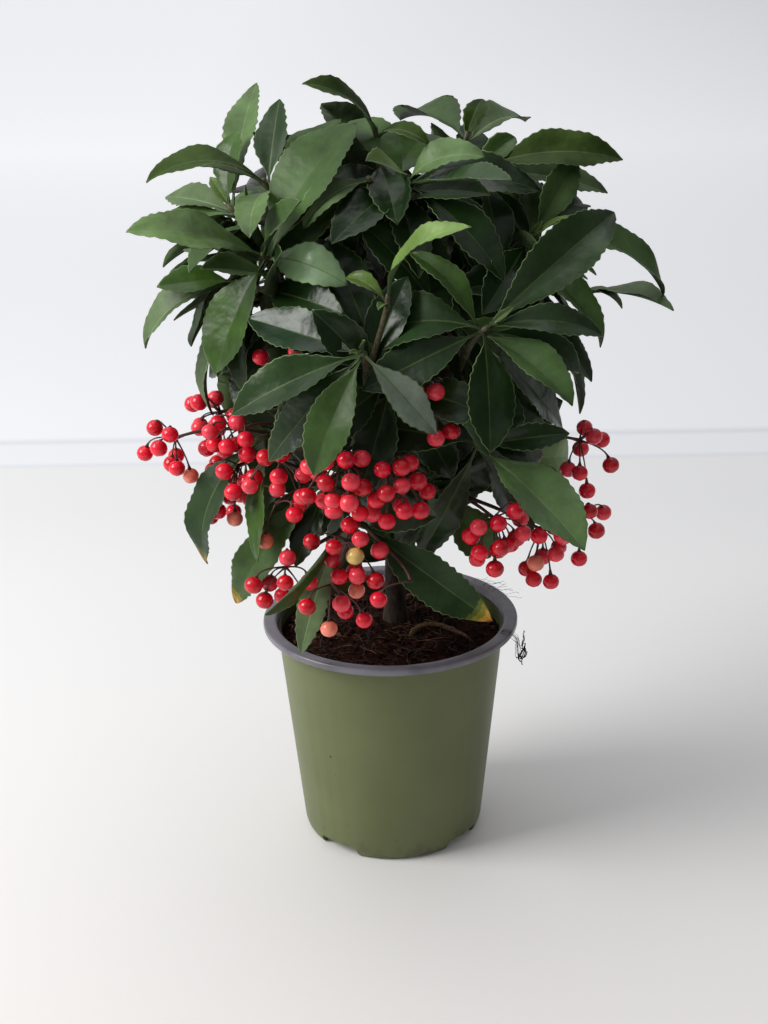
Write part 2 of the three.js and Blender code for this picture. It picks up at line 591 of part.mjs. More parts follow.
// The leaves told one by one take their space first, then the berries, then the leaves that follow by rule.
const masses = [...foliage, ...fruiting];
for (const laid of masses) {
  laid.whorls = laid.ends.filter((end) => end.whorl);
  laid.leaves = laid.whorls.flatMap(({ whorl, twig }) =>
    growLeaves(laid.mass.name, whorl, twig, toldLeaves(whorl), laid.random));
}
for (const laid of fruiting) {
  laid.berries = laid.ends.filter((end) => end.count)
    .flatMap((end) => growUmbel(laid.mass.name, end.place, end.way, end.count, laid.random));
}
for (const laid of masses) {
  const more = laid.whorls.flatMap(({ whorl, twig }) =>
    growLeaves(laid.mass.name, whorl, twig, ruledLeaves(whorl, laid.random), laid.random));
  const wood = laid.ends.map((end) => limbSolid(end.twig));
  const carrier = limbSolid(boughs[laid.mass.bough ?? 'trunk'], GAP);
  const whole = fused([...wood, ...laid.leaves, ...more, ...(laid.berries ?? [])]);
  const colour = laid.berries ? COLOURS.berry : COLOURS.leaf;
  addNode(laid.mass.name, fused([whole.subtract(carrier)]), colour, 0.4);
}

export default plant;
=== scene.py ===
import math
import random

import bmesh
import bpy
import numpy as np
from mathutils import Matrix, Vector, noise


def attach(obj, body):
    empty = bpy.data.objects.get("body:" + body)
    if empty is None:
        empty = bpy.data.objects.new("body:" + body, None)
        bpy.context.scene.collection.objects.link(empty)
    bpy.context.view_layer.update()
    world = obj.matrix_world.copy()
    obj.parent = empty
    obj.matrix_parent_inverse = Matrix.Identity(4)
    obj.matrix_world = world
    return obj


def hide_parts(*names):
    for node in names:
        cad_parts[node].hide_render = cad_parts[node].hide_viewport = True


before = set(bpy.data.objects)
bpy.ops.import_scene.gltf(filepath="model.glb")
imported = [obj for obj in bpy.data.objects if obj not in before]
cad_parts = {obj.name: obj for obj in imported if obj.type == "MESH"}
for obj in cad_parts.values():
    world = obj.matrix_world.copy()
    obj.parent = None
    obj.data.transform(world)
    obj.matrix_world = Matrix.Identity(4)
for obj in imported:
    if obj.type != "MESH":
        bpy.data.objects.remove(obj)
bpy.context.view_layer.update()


# The view. The camera stands in front of the pot and above it, and looks down on the plant with a slight
# roll to the left. A large soft lamp hangs to the left, and a pale sky fills the shadows.
camera_place = Vector((-0.0025, -0.9102, 0.5414))
camera_target = Vector((-0.0025, 0, 0.1874))
camera_roll = math.radians(-0.98)
bpy.ops.object.camera_add(location=camera_place)
camera = bpy.context.object
camera.name = "view"
camera_aim = (camera_target - camera_place).to_track_quat("-Z", "Y").to_matrix()
camera.rotation_euler = (camera_aim @ Matrix.Rotation(camera_roll, 3, "Z")).to_euler()
camera.data.lens = 63.6
camera.data.clip_start = 0.05
bpy.context.scene.camera = camera
bpy.context.scene.view_settings.view_transform = "Standard"


def hang_lamp(name, place, target, size, power, colour):
    """A square soft lamp that faces its target."""
    bpy.ops.object.light_add(type="AREA", location=place)
    lamp = bpy.context.object
    lamp.name = name
    lamp.rotation_euler = (Vector(target) - Vector(place)).to_track_quat("-Z", "Y").to_euler()
    lamp.data.size = size
    lamp.data.energy = power
    lamp.data.color = colour


hang_lamp("window", (-1.3, -0.35, 1.1), (0, 0, 0.2), 0.85, 24, (1, 0.99, 0.97))
hang_lamp("ceiling", (-0.1, 0.3, 1.6), (0, 0, 0.2), 1.2, 4.8, (1, 1, 1))

sky = bpy.context.scene.world or bpy.data.worlds.new("sky")
bpy.context.scene.world = sky
sky.use_nodes = True
backdrop = sky.node_tree.nodes["Background"]
backdrop.inputs["Color"].default_value = (0.97, 0.98, 1, 1)
toward = sky.node_tree.nodes.new("ShaderNodeTexCoord")
facing = sky.node_tree.nodes.new("ShaderNodeVectorMath")
facing.operation = "DOT_PRODUCT"
facing.inputs[1].default_value = (-0.55, 0.35, 0.76)
pale = sky.node_tree.nodes.new("ShaderNodeMapRange")
pale.inputs["From Min"].default_value = -0.5
pale.inputs["To Min"].default_value = 0.06
pale.inputs["To Max"].default_value = 0.66
sky.node_tree.links.new(toward.outputs["Generated"], facing.inputs[0])
sky.node_tree.links.new(facing.outputs["Value"], pale.inputs["Value"])
sky.node_tree.links.new(pale.outputs["Result"], backdrop.inputs["Strength"])


# The floor. A plain pale board, warm near the pot and cooler far behind it, with two faint lines where the
# board is joined. It glows with painted light that grows further back and fades to the right. It isn't part
# of the object.
class Finish:
    """A material that is built up from nodes, with patterns that read the piece's own coordinates."""

    def __init__(self, name, colour, roughness):
        self.material = bpy.data.materials.new(name)
        self.material.use_nodes = True
        self.material.diffuse_color = (*colour, 1)
        self.tree = self.material.node_tree
        self.shader = self.tree.nodes["Principled BSDF"]
        self.set("Base Color", (*colour, 1))
        self.set("Roughness", roughness)

    def set(self, slot, value, node=None):
        """Gives an input of a node, or else of the shader, a value or another node's output."""
        entry = (node or self.shader).inputs[slot]
        if isinstance(value, bpy.types.NodeSocket):
            self.tree.links.new(value, entry)
        else:
            entry.default_value = value

    def node(self, kind, inputs, operation=None):
        """Adds a node, with its inputs given by name or by number."""
        node = self.tree.nodes.new("ShaderNode" + kind)
        if operation:
            node.operation = operation
        for slot, value in inputs.items():
            self.set(slot, value, node)
        return node

    def reckon(self, operation, *values):
        """One step of arithmetic on numbers and other nodes' outputs."""
        return self.node("Math", dict(enumerate(values)), operation).outputs[0]

    def place(self, kind="Object"):
        return self.node("TexCoord", {}).outputs[kind]

    def axis(self, name, kind="Object"):
        return self.node("SeparateXYZ", {"Vector": self.place(kind)}).outputs[name]

    def noise(self, scale, detail=2, roughness=0.5, place=None):
        inputs = {"Vector": self.place() if place is None else place, "Scale": scale, "Detail": detail,
                  "Roughness": roughness}
        return self.node("TexNoise", inputs).outputs["Fac"]

    def blend(self, value, low, high, from_colour, to_colour):
        """Goes from one colour to another while a value runs from low to high."""
        ramp = self.node("MapRange", {"Value": value, "From Min": low, "From Max": high})
        mixer = self.node("Mix", {"Factor": ramp.outputs["Result"]})
        mixer.data_type = "RGBA"
        for letter, colour in (("A", from_colour), ("B", to_colour)):
            slot = next(i for i, s in enumerate(mixer.inputs) if s.name == letter and s.type == "RGBA")
            self.set(slot, (*colour, 1) if isinstance(colour, tuple) else colour, mixer)
        return next(s for s in mixer.outputs if s.type == "RGBA")

    def mottle(self, value, low, high, from_colour, to_colour):
        """Lays two colours over the whole piece, by a value that runs from low to high."""
        self.set("Base Color", self.blend(value, low, high, from_colour, to_colour))

    def roughen(self, height, strength, distance, under=None):
        """Raises the surface by a height from 0 to 1, over bumps that are there already."""
        inputs = {"Height": height, "Strength": strength, "Distance": distance}
        if under is not None:
            inputs["Normal"] = under
        bumps = self.node("Bump", inputs).outputs["Normal"]
        self.set("Normal", bumps)
        return bumps


bpy.ops.object.select_all(action="DESELECT")
bpy.ops.mesh.primitive_plane_add(size=16)
floor = bpy.context.object
floor.name = "floor"
board = Finish("floor_board", (0.82, 0.8, 0.78), 0.5)
back = board.axis("Y")
tone = board.blend(back, -0.45, 0.35, (0.765, 0.74, 0.715), (0.81, 0.81, 0.818))
for near, far, colour in ((0.6, 0.609, (0.75, 0.765, 0.82)), (0.609, 0.618, (0.845, 0.855, 0.885)),
                          (0.664, 0.674, (0.735, 0.75, 0.805)), (0.674, 0.688, (0.89, 0.9, 0.93))):
    tone = board.blend(back, near, far, tone, colour)
board.set("Base Color", tone)
# Painted light: the board glows, faintly near the pot and more the further back it lies, and half as much far
# to the right.
board.set("Emission Color", board.blend(back, 0.5, 2.2, (0.035, 0.035, 0.035), (0.43, 0.43, 0.44)))
board.set("Emission Strength", board.blend(board.axis("X"), -0.4, 1.2, (1, 1, 1), (0.5, 0.5, 0.5)))
floor.data.materials.append(board.material)


# The pot's wall. A thin tapered nursery pot, moulded in olive green plastic, with a rounded foot and four
# drainage notches in it. The wall follows every notch inwards.
POT_SIDES = 128
WALL_TOP = 0.1227
WALL = 0.0016
FOOT_HEIGHT = 0.006
FOOT_INSET = 0.0032
BASE_RADIUS = 0.0503
TOP_RADIUS = 0.0624
FIRST_NOTCH = -129
NOTCH_WIDTH = 0.025
NOTCH_DEPTH = 0.011
NOTCH_ROUNDING = 0.0022
TAPER_TOP = 0.123
# Rounding of the foot: how much of its height each step takes, and how far in it ends.
FOOT_STEPS = ((0.28, 0.12), (0.3, 0.32), (0.26, 0.62), (0.16, 1))
# Small nicks in the foot's edge: degrees round the pot, width and height.
NICKS = ((-103, 0.006, 0.0011), (-95, 0.0045, 0.0008), (-77, 0.006, 0.0012), (-66, 0.004, 0.0007),
         (-12, 0.006, 0.0011), (2, 0.005, 0.0009), (80, 0.006, 0.0011), (96, 0.005, 0.0008),
         (170, 0.006, 0.0011), (188, 0.005, 0.0009))
NICK_DEPTH = 0.007
NICK_ROUNDING = 0.0003


def start_fresh():
    """Leaves nothing selected, so that the next operator only acts on what it adds."""
    bpy.ops.object.select_all(action="DESELECT")


def take(piece):
    """Selects one piece and makes it the active one."""
    start_fresh()
    piece.select_set(True)
    bpy.context.view_layer.objects.active = piece


def select_faces(piece, wanted):
    """In edit mode, selects the faces that are wanted and no others."""
    bpy.ops.mesh.select_mode(type="FACE")
    bpy.ops.mesh.select_all(action="DESELECT")
    shape = bmesh.from_edit_mesh(piece.data)
    for face in shape.faces:
        face.select_set(wanted(face))
    bmesh.update_edit_mesh(piece.data)


def cut(piece, cutter):
    """Takes the cutter's shape out of the piece, and removes the cutter."""
    take(piece)
    knife = piece.modifiers.new("cut", "BOOLEAN")
    knife.operation = "DIFFERENCE"
    knife.solver = "EXACT"
    knife.object = cutter
    bpy.ops.object.modifier_apply(modifier=knife.name)
    bpy.data.objects.remove(cutter)


def wall_radius(height):
    """The pot's outer radius at a height above its foot."""
    return BASE_RADIUS + (TOP_RADIUS - BASE_RADIUS) * (height - FOOT_HEIGHT) / (TAPER_TOP - FOOT_HEIGHT)


def notch_cutter(turn, width, depth, height, radius, rounding):
    """A rounded block that cuts a notch into the foot from below and from the side."""
    start_fresh()
    reach = depth + 0.02
    way = Vector((math.cos(turn), math.sin(turn), 0))
    middle = way * (radius - depth + reach / 2)
    bpy.ops.mesh.primitive_cube_add(size=1, location=middle, rotation=(0, 0, turn))
    cutter = bpy.context.object
    cutter.scale = (reach, width, 2 * height)
    bpy.ops.object.transform_apply(location=False, rotation=False, scale=True)
    bpy.ops.object.mode_set(mode="EDIT")
    bpy.ops.mesh.bevel(offset=rounding, segments=3)
    bpy.ops.object.mode_set(mode="OBJECT")
    return cutter


def pot_block(name, shrink, low, high):
    """The pot's outside as a block: shrink moves its faces inwards, and it is cut off at low and high."""
    foot_top = low + FOOT_HEIGHT
    start_fresh()
    bpy.ops.mesh.primitive_cylinder_add(
        vertices=POT_SIDES, radius=wall_radius(foot_top) - shrink, depth=high - foot_top,
        location=(0, 0, (high + foot_top) / 2))
    block = bpy.context.object
    block.name = name
    bpy.ops.object.transform_apply(location=True, rotation=True, scale=True)
    bpy.ops.object.mode_set(mode="EDIT")
    select_faces(block, lambda face: face.normal.z > 0.9)
    widen = (wall_radius(high) - shrink) / (wall_radius(foot_top) - shrink)
    bpy.ops.transform.resize(value=(widen, widen, 1), center_override=(0, 0, high))
    select_faces(block, lambda face: face.normal.z < -0.9)
    radius = wall_radius(foot_top) - shrink
    for share, inset in FOOT_STEPS:
        bpy.ops.mesh.extrude_region_move(TRANSFORM_OT_translate={"value": (0, 0, -share * FOOT_HEIGHT)})
        narrow = (BASE_RADIUS - inset * FOOT_INSET - shrink) / radius
        bpy.ops.transform.resize(value=(narrow, narrow, 1), center_override=(0, 0, 0))
        radius *= narrow
    bpy.ops.object.mode_set(mode="OBJECT")
    for quarter in range(4):
        cut(block, notch_cutter(math.radians(FIRST_NOTCH + 90 * quarter), NOTCH_WIDTH + 2 * shrink,
                                NOTCH_DEPTH + 2 * shrink, FOOT_HEIGHT + shrink, BASE_RADIUS + shrink,
                                NOTCH_ROUNDING))
    return block


pot_wall = pot_block("pot_wall", 0, 0, WALL_TOP)
for turn, width, height in NICKS:
    cut(pot_wall, notch_cutter(math.radians(turn), width, NICK_DEPTH, height, BASE_RADIUS, NICK_ROUNDING))
cut(pot_wall, pot_block("pot_hollow", WALL, WALL, WALL_TOP + 0.005))
take(pot_wall)
bpy.ops.object.shade_smooth_by_angle(angle=math.radians(32))

STAIN_AND_SHADE_LOW = 0.1
olive = Finish("olive_plastic", (0.108, 0.128, 0.049), 0.45)
clean = olive.blend(olive.noise(26, 4), 0.3, 0.72, (0.108, 0.13, 0.043), (0.132, 0.157, 0.057))
# Towards its foot the wall turns darker and greyer.
lowness = olive.reckon("MULTIPLY_ADD", olive.axis("Z"), -14, olive.noise(120, 6))
darker_low_down = olive.blend(lowness, 0.42, 0.62, clean, (0.092, 0.095, 0.045))
grit = olive.node("TexVoronoi", {"Vector": olive.place(), "Scale": 105}).outputs["Distance"]
speckle = olive.reckon("MULTIPLY_ADD", olive.noise(38), -0.62, grit)
olive.mottle(speckle, -0.345, -0.33, (0.03, 0.022, 0.015), darker_low_down)
olive.roughen(olive.noise(900), 0.12, 0.0006)
# Inside, the wall is near black: a soil stain with painted shade over it.
lining = Finish("stained_and_shaded_lining", (0.03, 0.026, 0.03), 0.6)
lining.mottle(lining.noise(90), 0.35, 0.7, (0.018, 0.014, 0.016), (0.075, 0.07, 0.08))
for finish in (olive, lining):
    pot_wall.data.materials.append(finish.material)
# Inner faces above that height take the near-black lining of soil stain and painted shade.
for face in pot_wall.data.polygons:
    is_inside = face.normal.xy.dot(face.center.xy.normalized()) < -0.5
    if is_inside and face.center.z > STAIN_AND_SHADE_LOW:
        face.material_index = 1
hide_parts("pot_body")
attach(pot_wall, "root")


# The pot's rim. A separate band of lavender grey plastic that is pressed over the wall's top edge. Its
# flange stands out from the wall, and its lip slopes in towards the soil.
RIM_RADIUS = 0.07
RIM_LOW = 0.123
RIM_TOP = 0.1268
RIM_BORE = 0.0608
LIP_RADIUS = 0.0632
LIP_DROP = 0.0002
RIM_ROUNDING = 0.0011
start_fresh()
bpy.ops.mesh.primitive_plane_add(size=1)
rim = bpy.context.object
rim.name = "rim_band"
bpy.ops.object.mode_set(mode="EDIT")
profile = bmesh.from_edit_mesh(rim.data)
corners = ((RIM_BORE, RIM_LOW), (RIM_RADIUS, RIM_LOW), (RIM_RADIUS, RIM_TOP),
           (LIP_RADIUS, RIM_TOP - LIP_DROP))
around = sorted(profile.verts, key=lambda vertex: math.atan2(vertex.co.y, vertex.co.x))
for vertex, (radius, height) in zip(around, corners):
    vertex.co = (radius, 0, height)
bmesh.update_edit_mesh(rim.data)
bpy.ops.mesh.select_all(action="SELECT")
bpy.ops.mesh.bevel(offset=RIM_ROUNDING, segments=4, affect="VERTICES")
bpy.ops.mesh.delete(type="ONLY_FACE")
bpy.ops.mesh.select_mode(type="EDGE")
bpy.ops.mesh.select_all(action="SELECT")
bpy.ops.mesh.spin(steps=POT_SIDES, angle=2 * math.pi, center=(0, 0, 0), axis=(0, 0, 1))
bpy.ops.mesh.select_all(action="SELECT")
bpy.ops.mesh.remove_doubles(threshold=0.00002)
bpy.ops.mesh.normals_make_consistent(inside=False)
bpy.ops.object.mode_set(mode="OBJECT")
bpy.ops.object.shade_smooth_by_angle(angle=math.radians(40))

lavender = Finish("lavender_plastic", (0.19, 0.185, 0.22), 0.27)
lavender.mottle(lavender.noise(60, 5), 0.35, 0.75, (0.195, 0.19, 0.228), (0.12, 0.112, 0.13))
rim.data.materials.append(lavender.material)
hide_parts("pot_rim")
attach(rim, "root")


# The peat. Dark fibrous peat fills the pot to a finger's breadth under the rim. It is rough, a little
# higher round the stems, and lies against the wall.
PEAT_EDGE = 0.1172
PEAT_BED = 0.1085
PEAT_CROWN = 0.0012
PEAT_ROUGH = 0.0011
PEAT_LUMPS = 0.0016
PEAT_GAP = 0.0004
BLOCK_GAP = 0.0003
PEAT_OVERLAP = 0.001


def peat_height(x, y):
    """The height of the peat's surface, in metres."""
    out = math.hypot(x, y) / 0.06
    rough = noise.fractal(Vector((x, y, 0)) * 90, 0.8, 2.1, 5)
    lump = noise.noise(Vector((x, y, 3)) * 45)
    return PEAT_EDGE + PEAT_CROWN * (1 - out * out) + PEAT_ROUGH * rough + PEAT_LUMPS * lump


def skin_piece(name, points, faces, finishes, kinds=None):
    """A mesh piece from points in metres, shaded smooth. kinds says which finish each face has."""
    data = bpy.data.meshes.new(name)
    data.from_pydata([tuple(point) for point in points], [], faces)
    for finish in finishes:
        data.materials.append(finish.material)
    if kinds is not None:
        data.polygons.foreach_set("material_index", np.array(kinds, dtype=np.int32))
    data.polygons.foreach_set("use_smooth", np.ones(len(faces), dtype=bool))
    data.update()
    piece = bpy.data.objects.new(name, data)
    bpy.context.scene.collection.objects.link(piece)
    return piece


peat_block = pot_block("peat_block", WALL + BLOCK_GAP, WALL + BLOCK_GAP, PEAT_BED)
peat_radius = wall_radius(PEAT_EDGE) - WALL - PEAT_GAP
ring_count, spoke_count = 56, 168
turns = [2 * math.pi * spoke / spoke_count for spoke in range(spoke_count)]
points = [(0, 0, peat_height(0, 0))]
for ring in range(1, ring_count + 1):
    out = peat_radius * ring / ring_count
    for turn in turns:
        x, y = out * math.cos(turn), out * math.sin(turn)
        points.append((x, y, peat_height(x, y)))
out = wall_radius(PEAT_BED) - WALL - PEAT_GAP
points += [(out * math.cos(turn), out * math.sin(turn), PEAT_BED - PEAT_OVERLAP) for turn in turns]
faces = [(0, 1 + spoke, 1 + (spoke + 1) % spoke_count) for spoke in range(spoke_count)]
for ring in range(ring_count):
    inner, outer = 1 + ring * spoke_count, 1 + (ring + 1) * spoke_count
    for spoke in range(spoke_count):
        after = (spoke + 1) % spoke_count
        faces.append((inner + spoke, outer + spoke, outer + after, inner + after))
faces.append(tuple(1 + ring_count * spoke_count + spoke for spoke in reversed(range(spoke_count))))

peat = Finish("peat", (0.02, 0.011, 0.008), 0.95)
clods = peat.noise(260, 8, 0.7)
peat.mottle(clods, 0.36, 0.68, (0.006, 0.0018, 0.0014), (0.05, 0.017, 0.011))
peat.roughen(clods, 0.9, 0.002)
peat.set("Specular IOR Level", 0.08)
peat_top = skin_piece("peat_top", points, faces, [peat])
peat_block.data.materials.append(peat.material)
for piece in (peat_block, peat_top):
    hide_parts("soil")
    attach(piece, "root")


# Crumbs and fibres in the peat. Crumbs of peat lie loose on the surface, and pale and dark root fibres
# curl over it.
CRUMB_COUNT = 900
FIBRE_COUNT = 330
ROOTLET_COUNT = 22
TANGLED_COUNT = 10
TRUNK_FOOT = (0.003, 0.012)
chance = random.Random(7)
start_fresh()
bpy.ops.mesh.primitive_ico_sphere_add(subdivisions=1, radius=1)
seed_crumb = bpy.context.object
crumb_points = np.array([vertex.co for vertex in seed_crumb.data.vertices])
crumb_faces = [tuple(face.vertices) for face in seed_crumb.data.polygons]
bpy.data.objects.remove(seed_crumb)


def near_trunk(x, y, clear):
    """Whether a place on the peat is too close to the trunk's foot."""
    return math.hypot(x - TRUNK_FOOT[0], y - TRUNK_FOOT[1]) < clear


def spot_on_peat(share):
    """A place picked at random within that share of the peat's radius."""
    out = peat_radius * share * math.sqrt(chance.random())
    turn = chance.uniform(0, 2 * math.pi)
    return out * math.cos(turn), out * math.sin(turn)


points, faces, kinds = [], [], []
while len(kinds) < CRUMB_COUNT * len(crumb_faces):
    x, y = spot_on_peat(0.965)
    if near_trunk(x, y, 0.0095):
        continue
    size = 0.0005 + 0.0016 * chance.random() ** 3
    spread = np.array([chance.uniform(0.7, 1.5), chance.uniform(0.6, 1.2), chance.uniform(0.5, 0.9)])
    spin = Matrix.Rotation(chance.uniform(0, 6.28), 3, "Z")
    tilt = spin @ Matrix.Rotation(chance.uniform(-0.7, 0.7), 3, "X")
    jitter = np.array([[chance.uniform(0.75, 1.25)] for _ in crumb_points])
    grown = (crumb_points * spread * jitter * size) @ np.array(tilt).T
    start = len(points)
    points.extend(grown + np.array([x, y, peat_height(x, y) + size * 0.25]))
    faces.extend(tuple(start + i for i in face) for face in crumb_faces)
    kinds.extend([chance.choice((0, 0, 0, 0, 1, 1, 1, 2))] * len(crumb_faces))
crumb_finishes = [Finish("dark_crumb", (0.01, 0.0045, 0.0035), 1),
                  Finish("brown_crumb", (0.04, 0.015, 0.01), 1), Finish("tan_crumb", (0.1, 0.05, 0.03), 1)]
for finish in crumb_finishes:
    finish.set("Specular IOR Level", 0.1)
crumbs = skin_piece("peat_crumbs", points, faces, crumb_finishes, kinds)
crumbs.data.polygons.foreach_set("use_smooth", np.zeros(len(faces), dtype=bool))
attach(crumbs, "root")


def tube(line, radii, sides):
    """The points and faces of a closed round tube along a line of points."""
    line = np.asarray(line, dtype=float)
    ways = np.gradient(line, axis=0)
    ways /= np.linalg.norm(ways, axis=1)[:, None]
    side = np.cross(ways[0], (0, 0, 1) if abs(ways[0][2]) < 0.9 else (1, 0, 0))
    turns = 2 * np.pi * np.arange(sides) / sides
    rings = []
    for centre, way, radius in zip(line, ways, radii):
        side = side - way * side.dot(way)
        side /= np.linalg.norm(side)
        up = np.cross(way, side)
        rings.append(centre + radius * (np.cos(turns)[:, None] * side + np.sin(turns)[:, None] * up))
    tube_faces = []
    for first in range(0, (len(line) - 1) * sides, sides):
        for i in range(sides):
            j = (i + 1) % sides
            tube_faces.append((first + i, first + j, first + sides + j, first + sides + i))
    tube_faces.append(tuple(reversed(range(sides))))
    tube_faces.append(tuple((len(line) - 1) * sides + i for i in range(sides)))
    return np.concatenate(rings), tube_faces


def add_tube(points, faces, line, radii, sides):
    """Adds a tube to a growing list of points and faces."""
    tube_points, tube_faces = tube(line, radii, sides)
    start = len(points)
    points.extend(tube_points)
    faces.extend(tuple(start + i for i in face) for face in tube_faces)
    return len(tube_faces)


points, faces, kinds = [], [], []
for fibre in range(FIBRE_COUNT):
    x, y = spot_on_peat(0.9)
    heading = chance.uniform(0, 2 * math.pi)
    curl = chance.uniform(-0.5, 0.5)
    step = chance.uniform(0.0012, 0.0028)
    arch = chance.uniform(0.0002, 0.0028)
    thick = chance.uniform(0.00009, 0.00026)
    line = []
    for i in range(9):
        line.append((x, y, peat_height(x, y) + thick + arch * math.sin(math.pi * i / 8)))
        heading += curl + chance.uniform(-0.3, 0.3)
        x, y = x + step * math.cos(heading), y + step * math.sin(heading)
        if math.hypot(x, y) > peat_radius * 0.96 or near_trunk(x, y, 0.009):
            break
    if len(line) > 3:
        count = add_tube(points, faces, line, [thick] * len(line), 4)
        kinds.extend([chance.choice((0, 0, 0, 1, 1, 1, 2))] * count)

# A dry curl of root lies on the peat, and black rootlets have been pushed over the rim on the right.
CURL = ((0.0105, -0.0105, 0.001), (0.0125, -0.0065, 0.0022), (0.0165, -0.0035, 0.0034),
        (0.0215, -0.003, 0.004), (0.0275, -0.0045, 0.0036), (0.034, -0.008, 0.0026),
        (0.0405, -0.0135, 0.0014), (0.0445, -0.019, 0.0006))
CURL_RADII = (0.0011, 0.0019, 0.0016, 0.0012, 0.0011, 0.0013, 0.001, 0.0005)
TANGLE_TURNS = (-26, -20)
LOOSE_TURNS = (16, 44)
# How high above the peat a rootlet lies at each step out over the rim.
RIM_RISES = (0, 0.0075, 0.0099, 0.0101, 0.0085)
RIM_STEP = 0.0026
curl = [(x, y, peat_height(x, y) + lift) for x, y, lift in CURL]
count = add_tube(points, faces, curl, CURL_RADII, 8)
kinds.extend([3] * count)
for rootlet in range(ROOTLET_COUNT):
    is_tangle = rootlet < TANGLED_COUNT
    turn = math.radians(chance.uniform(*(TANGLE_TURNS if is_tangle else LOOSE_TURNS)))
    reach, height = RIM_RADIUS - 0.0095, PEAT_EDGE + 0.0005
    line = []
    for rise in RIM_RISES:
        line.append((reach * math.cos(turn), reach * math.sin(turn), height + rise))
        reach += RIM_STEP
        turn += chance.uniform(-0.003, 0.003)
    thick = [0.00007] * len(RIM_RISES)
    height += RIM_RISES[-1]
    sway = chance.uniform(-0.3, 0.3)
    for step in range(chance.randint(9, 14) if is_tangle else 3):
        if is_tangle:
            sway += chance.uniform(-0.5, 0.9)
            height -= 0.0016 * math.cos(sway) + (0.0012 if step < 4 else 0)
            turn += 0.022 * math.sin(sway)
            reach += chance.uniform(-0.0006, 0.0009)
            thick.append(0.00012 if step < 4 else chance.uniform(0.0002, 0.0004))
        else:
            height += chance.uniform(-0.0012, 0.0006)
            turn += chance.uniform(-0.012, 0.012)
            reach += 0.0016
            thick.append(0.00008)
        reach = max(reach, RIM_RADIUS + 0.001)
        line.append((reach * math.cos(turn), reach * math.sin(turn), height))
    count = add_tube(points, faces, line, thick, 4)
    kinds.extend([0] * count)
dry_root = Finish("dry_root", (0.13, 0.075, 0.035), 0.9)
dry_root.mottle(dry_root.noise(900, 4), 0.35, 0.65, (0.05, 0.026, 0.013), (0.2, 0.125, 0.06))
fibre_finishes = [Finish("dark_fibre", (0.014, 0.007, 0.006), 0.9),
                  Finish("brown_fibre", (0.06, 0.026, 0.016), 0.9),
                  Finish("tan_fibre", (0.16, 0.09, 0.05), 0.9), dry_root]
fibres = skin_piece("peat_fibres", points, faces, fibre_finishes, kinds)
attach(fibres, "root")


# The trunk and boughs. One woody stem leans a little and flares at the soil; nine boughs part from it, each
# a single tapering limb. Their grey-brown bark has fine cracks and rings of old leaf scars. The plant's sizes
# are in millimetres, and its meshes are made in metres.
MM = 0.001
SOIL_HEIGHT = 117
TRUNK = {"foot": (3, 12), "tip": (0, -4), "height": 332, "foot_radius": 7.6, "tip_radius": 3.2,
         "flare": 2.6, "flare_height": 14}
UP = np.array([0.0, 0.0, 1.0])
BOUGH_RADII = (3.1, 2.3)
BOUGH_RISE_AT_TRUNK = 30
BOUGH_RISE_AT_TIP = 50
# Boughs: where each leaves the trunk, then its tip as degrees round the pot's axis, reach and height.
BOUGHS = {
    "bough_front": (206, -99, 54, 266),
    "bough_front_right": (216, -54, 50, 264),
    "bough_left": (234, 209, 41, 292),
    "bough_top_left": (288, 182, 36, 326),
    "bough_top_right": (280, 14, 30, 334),
    "bough_right": (246, -6, 58, 290),
    "bough_back_right": (228, 52, 50, 276),
    "bough_back": (268, 96, 36, 318),
    "bough_back_left": (220, 138, 50, 272),
}


def placed(round_by, reach, height):
    """The point that lies that many degrees round the pot's axis, at that reach and height."""
    turn = math.radians(round_by)
    return np.array([reach * math.cos(turn), reach * math.sin(turn), height])


def outward(round_by, rise):
    """The direction that points that many degrees round the pot's axis and rises from level."""
    return placed(round_by, math.cos(math.radians(rise)), math.sin(math.radians(rise)))


def unit(way):
    return way / np.linalg.norm(way)


class Limb:
    """A tapering limb along a curve that leaves its start one way and meets its end another way."""

    def __init__(self, start, start_way, end, end_way, root_radius, tip_radius):
        pull = np.linalg.norm(end - start) * 0.36
        self.handles = np.array([start, start + start_way * pull, end - end_way * pull, end])
        self.root_radius, self.tip_radius = root_radius, tip_radius
        spots = self.spot(np.linspace(0, 1, 201))
        self.lengths = np.concatenate([[0], np.cumsum(np.linalg.norm(np.diff(spots, axis=0), axis=1))])
        self.length = self.lengths[-1]

    def spot(self, t):
        t = np.atleast_1d(t)[:, None]
        a, b, c, d = self.handles
        return (1 - t) ** 3 * a + 3 * (1 - t) ** 2 * t * b + 3 * (1 - t) * t ** 2 * c + t ** 3 * d

    def share(self, along):
        return np.interp(np.asarray(along) * self.length, self.lengths, np.linspace(0, 1, 201))

    def at(self, along):
        return self.spot(self.share(along))[0]

    def points(self, count):
        return self.spot(self.share(np.linspace(0, 1, count + 1)))

    def way(self, along):
        t = float(self.share(along))
        before, after = self.spot([max(t - 0.0001, 0), min(t + 0.0001, 1)])
        return unit(after - before)

    def radius(self, along):
        return self.root_radius + (self.tip_radius - self.root_radius) * along


class Trunk(Limb):
    def radius(self, along):
        plain = (TRUNK["foot_radius"] - TRUNK["flare"]) * (1 - along) + TRUNK["tip_radius"] * along
        length = TRUNK["height"] - SOIL_HEIGHT
        return plain + TRUNK["flare"] * np.exp(-along * length / TRUNK["flare_height"])


TRUNK_GAP = 0.3
trunk = Trunk(np.array([*TRUNK["foot"], SOIL_HEIGHT + TRUNK_GAP]), UP,
              np.array([*TRUNK["tip"], TRUNK["height"]]), UP, TRUNK["foot_radius"], TRUNK["tip_radius"])


def trunk_at(height):
    return trunk.at((height - SOIL_HEIGHT) / (TRUNK["height"] - SOIL_HEIGHT))


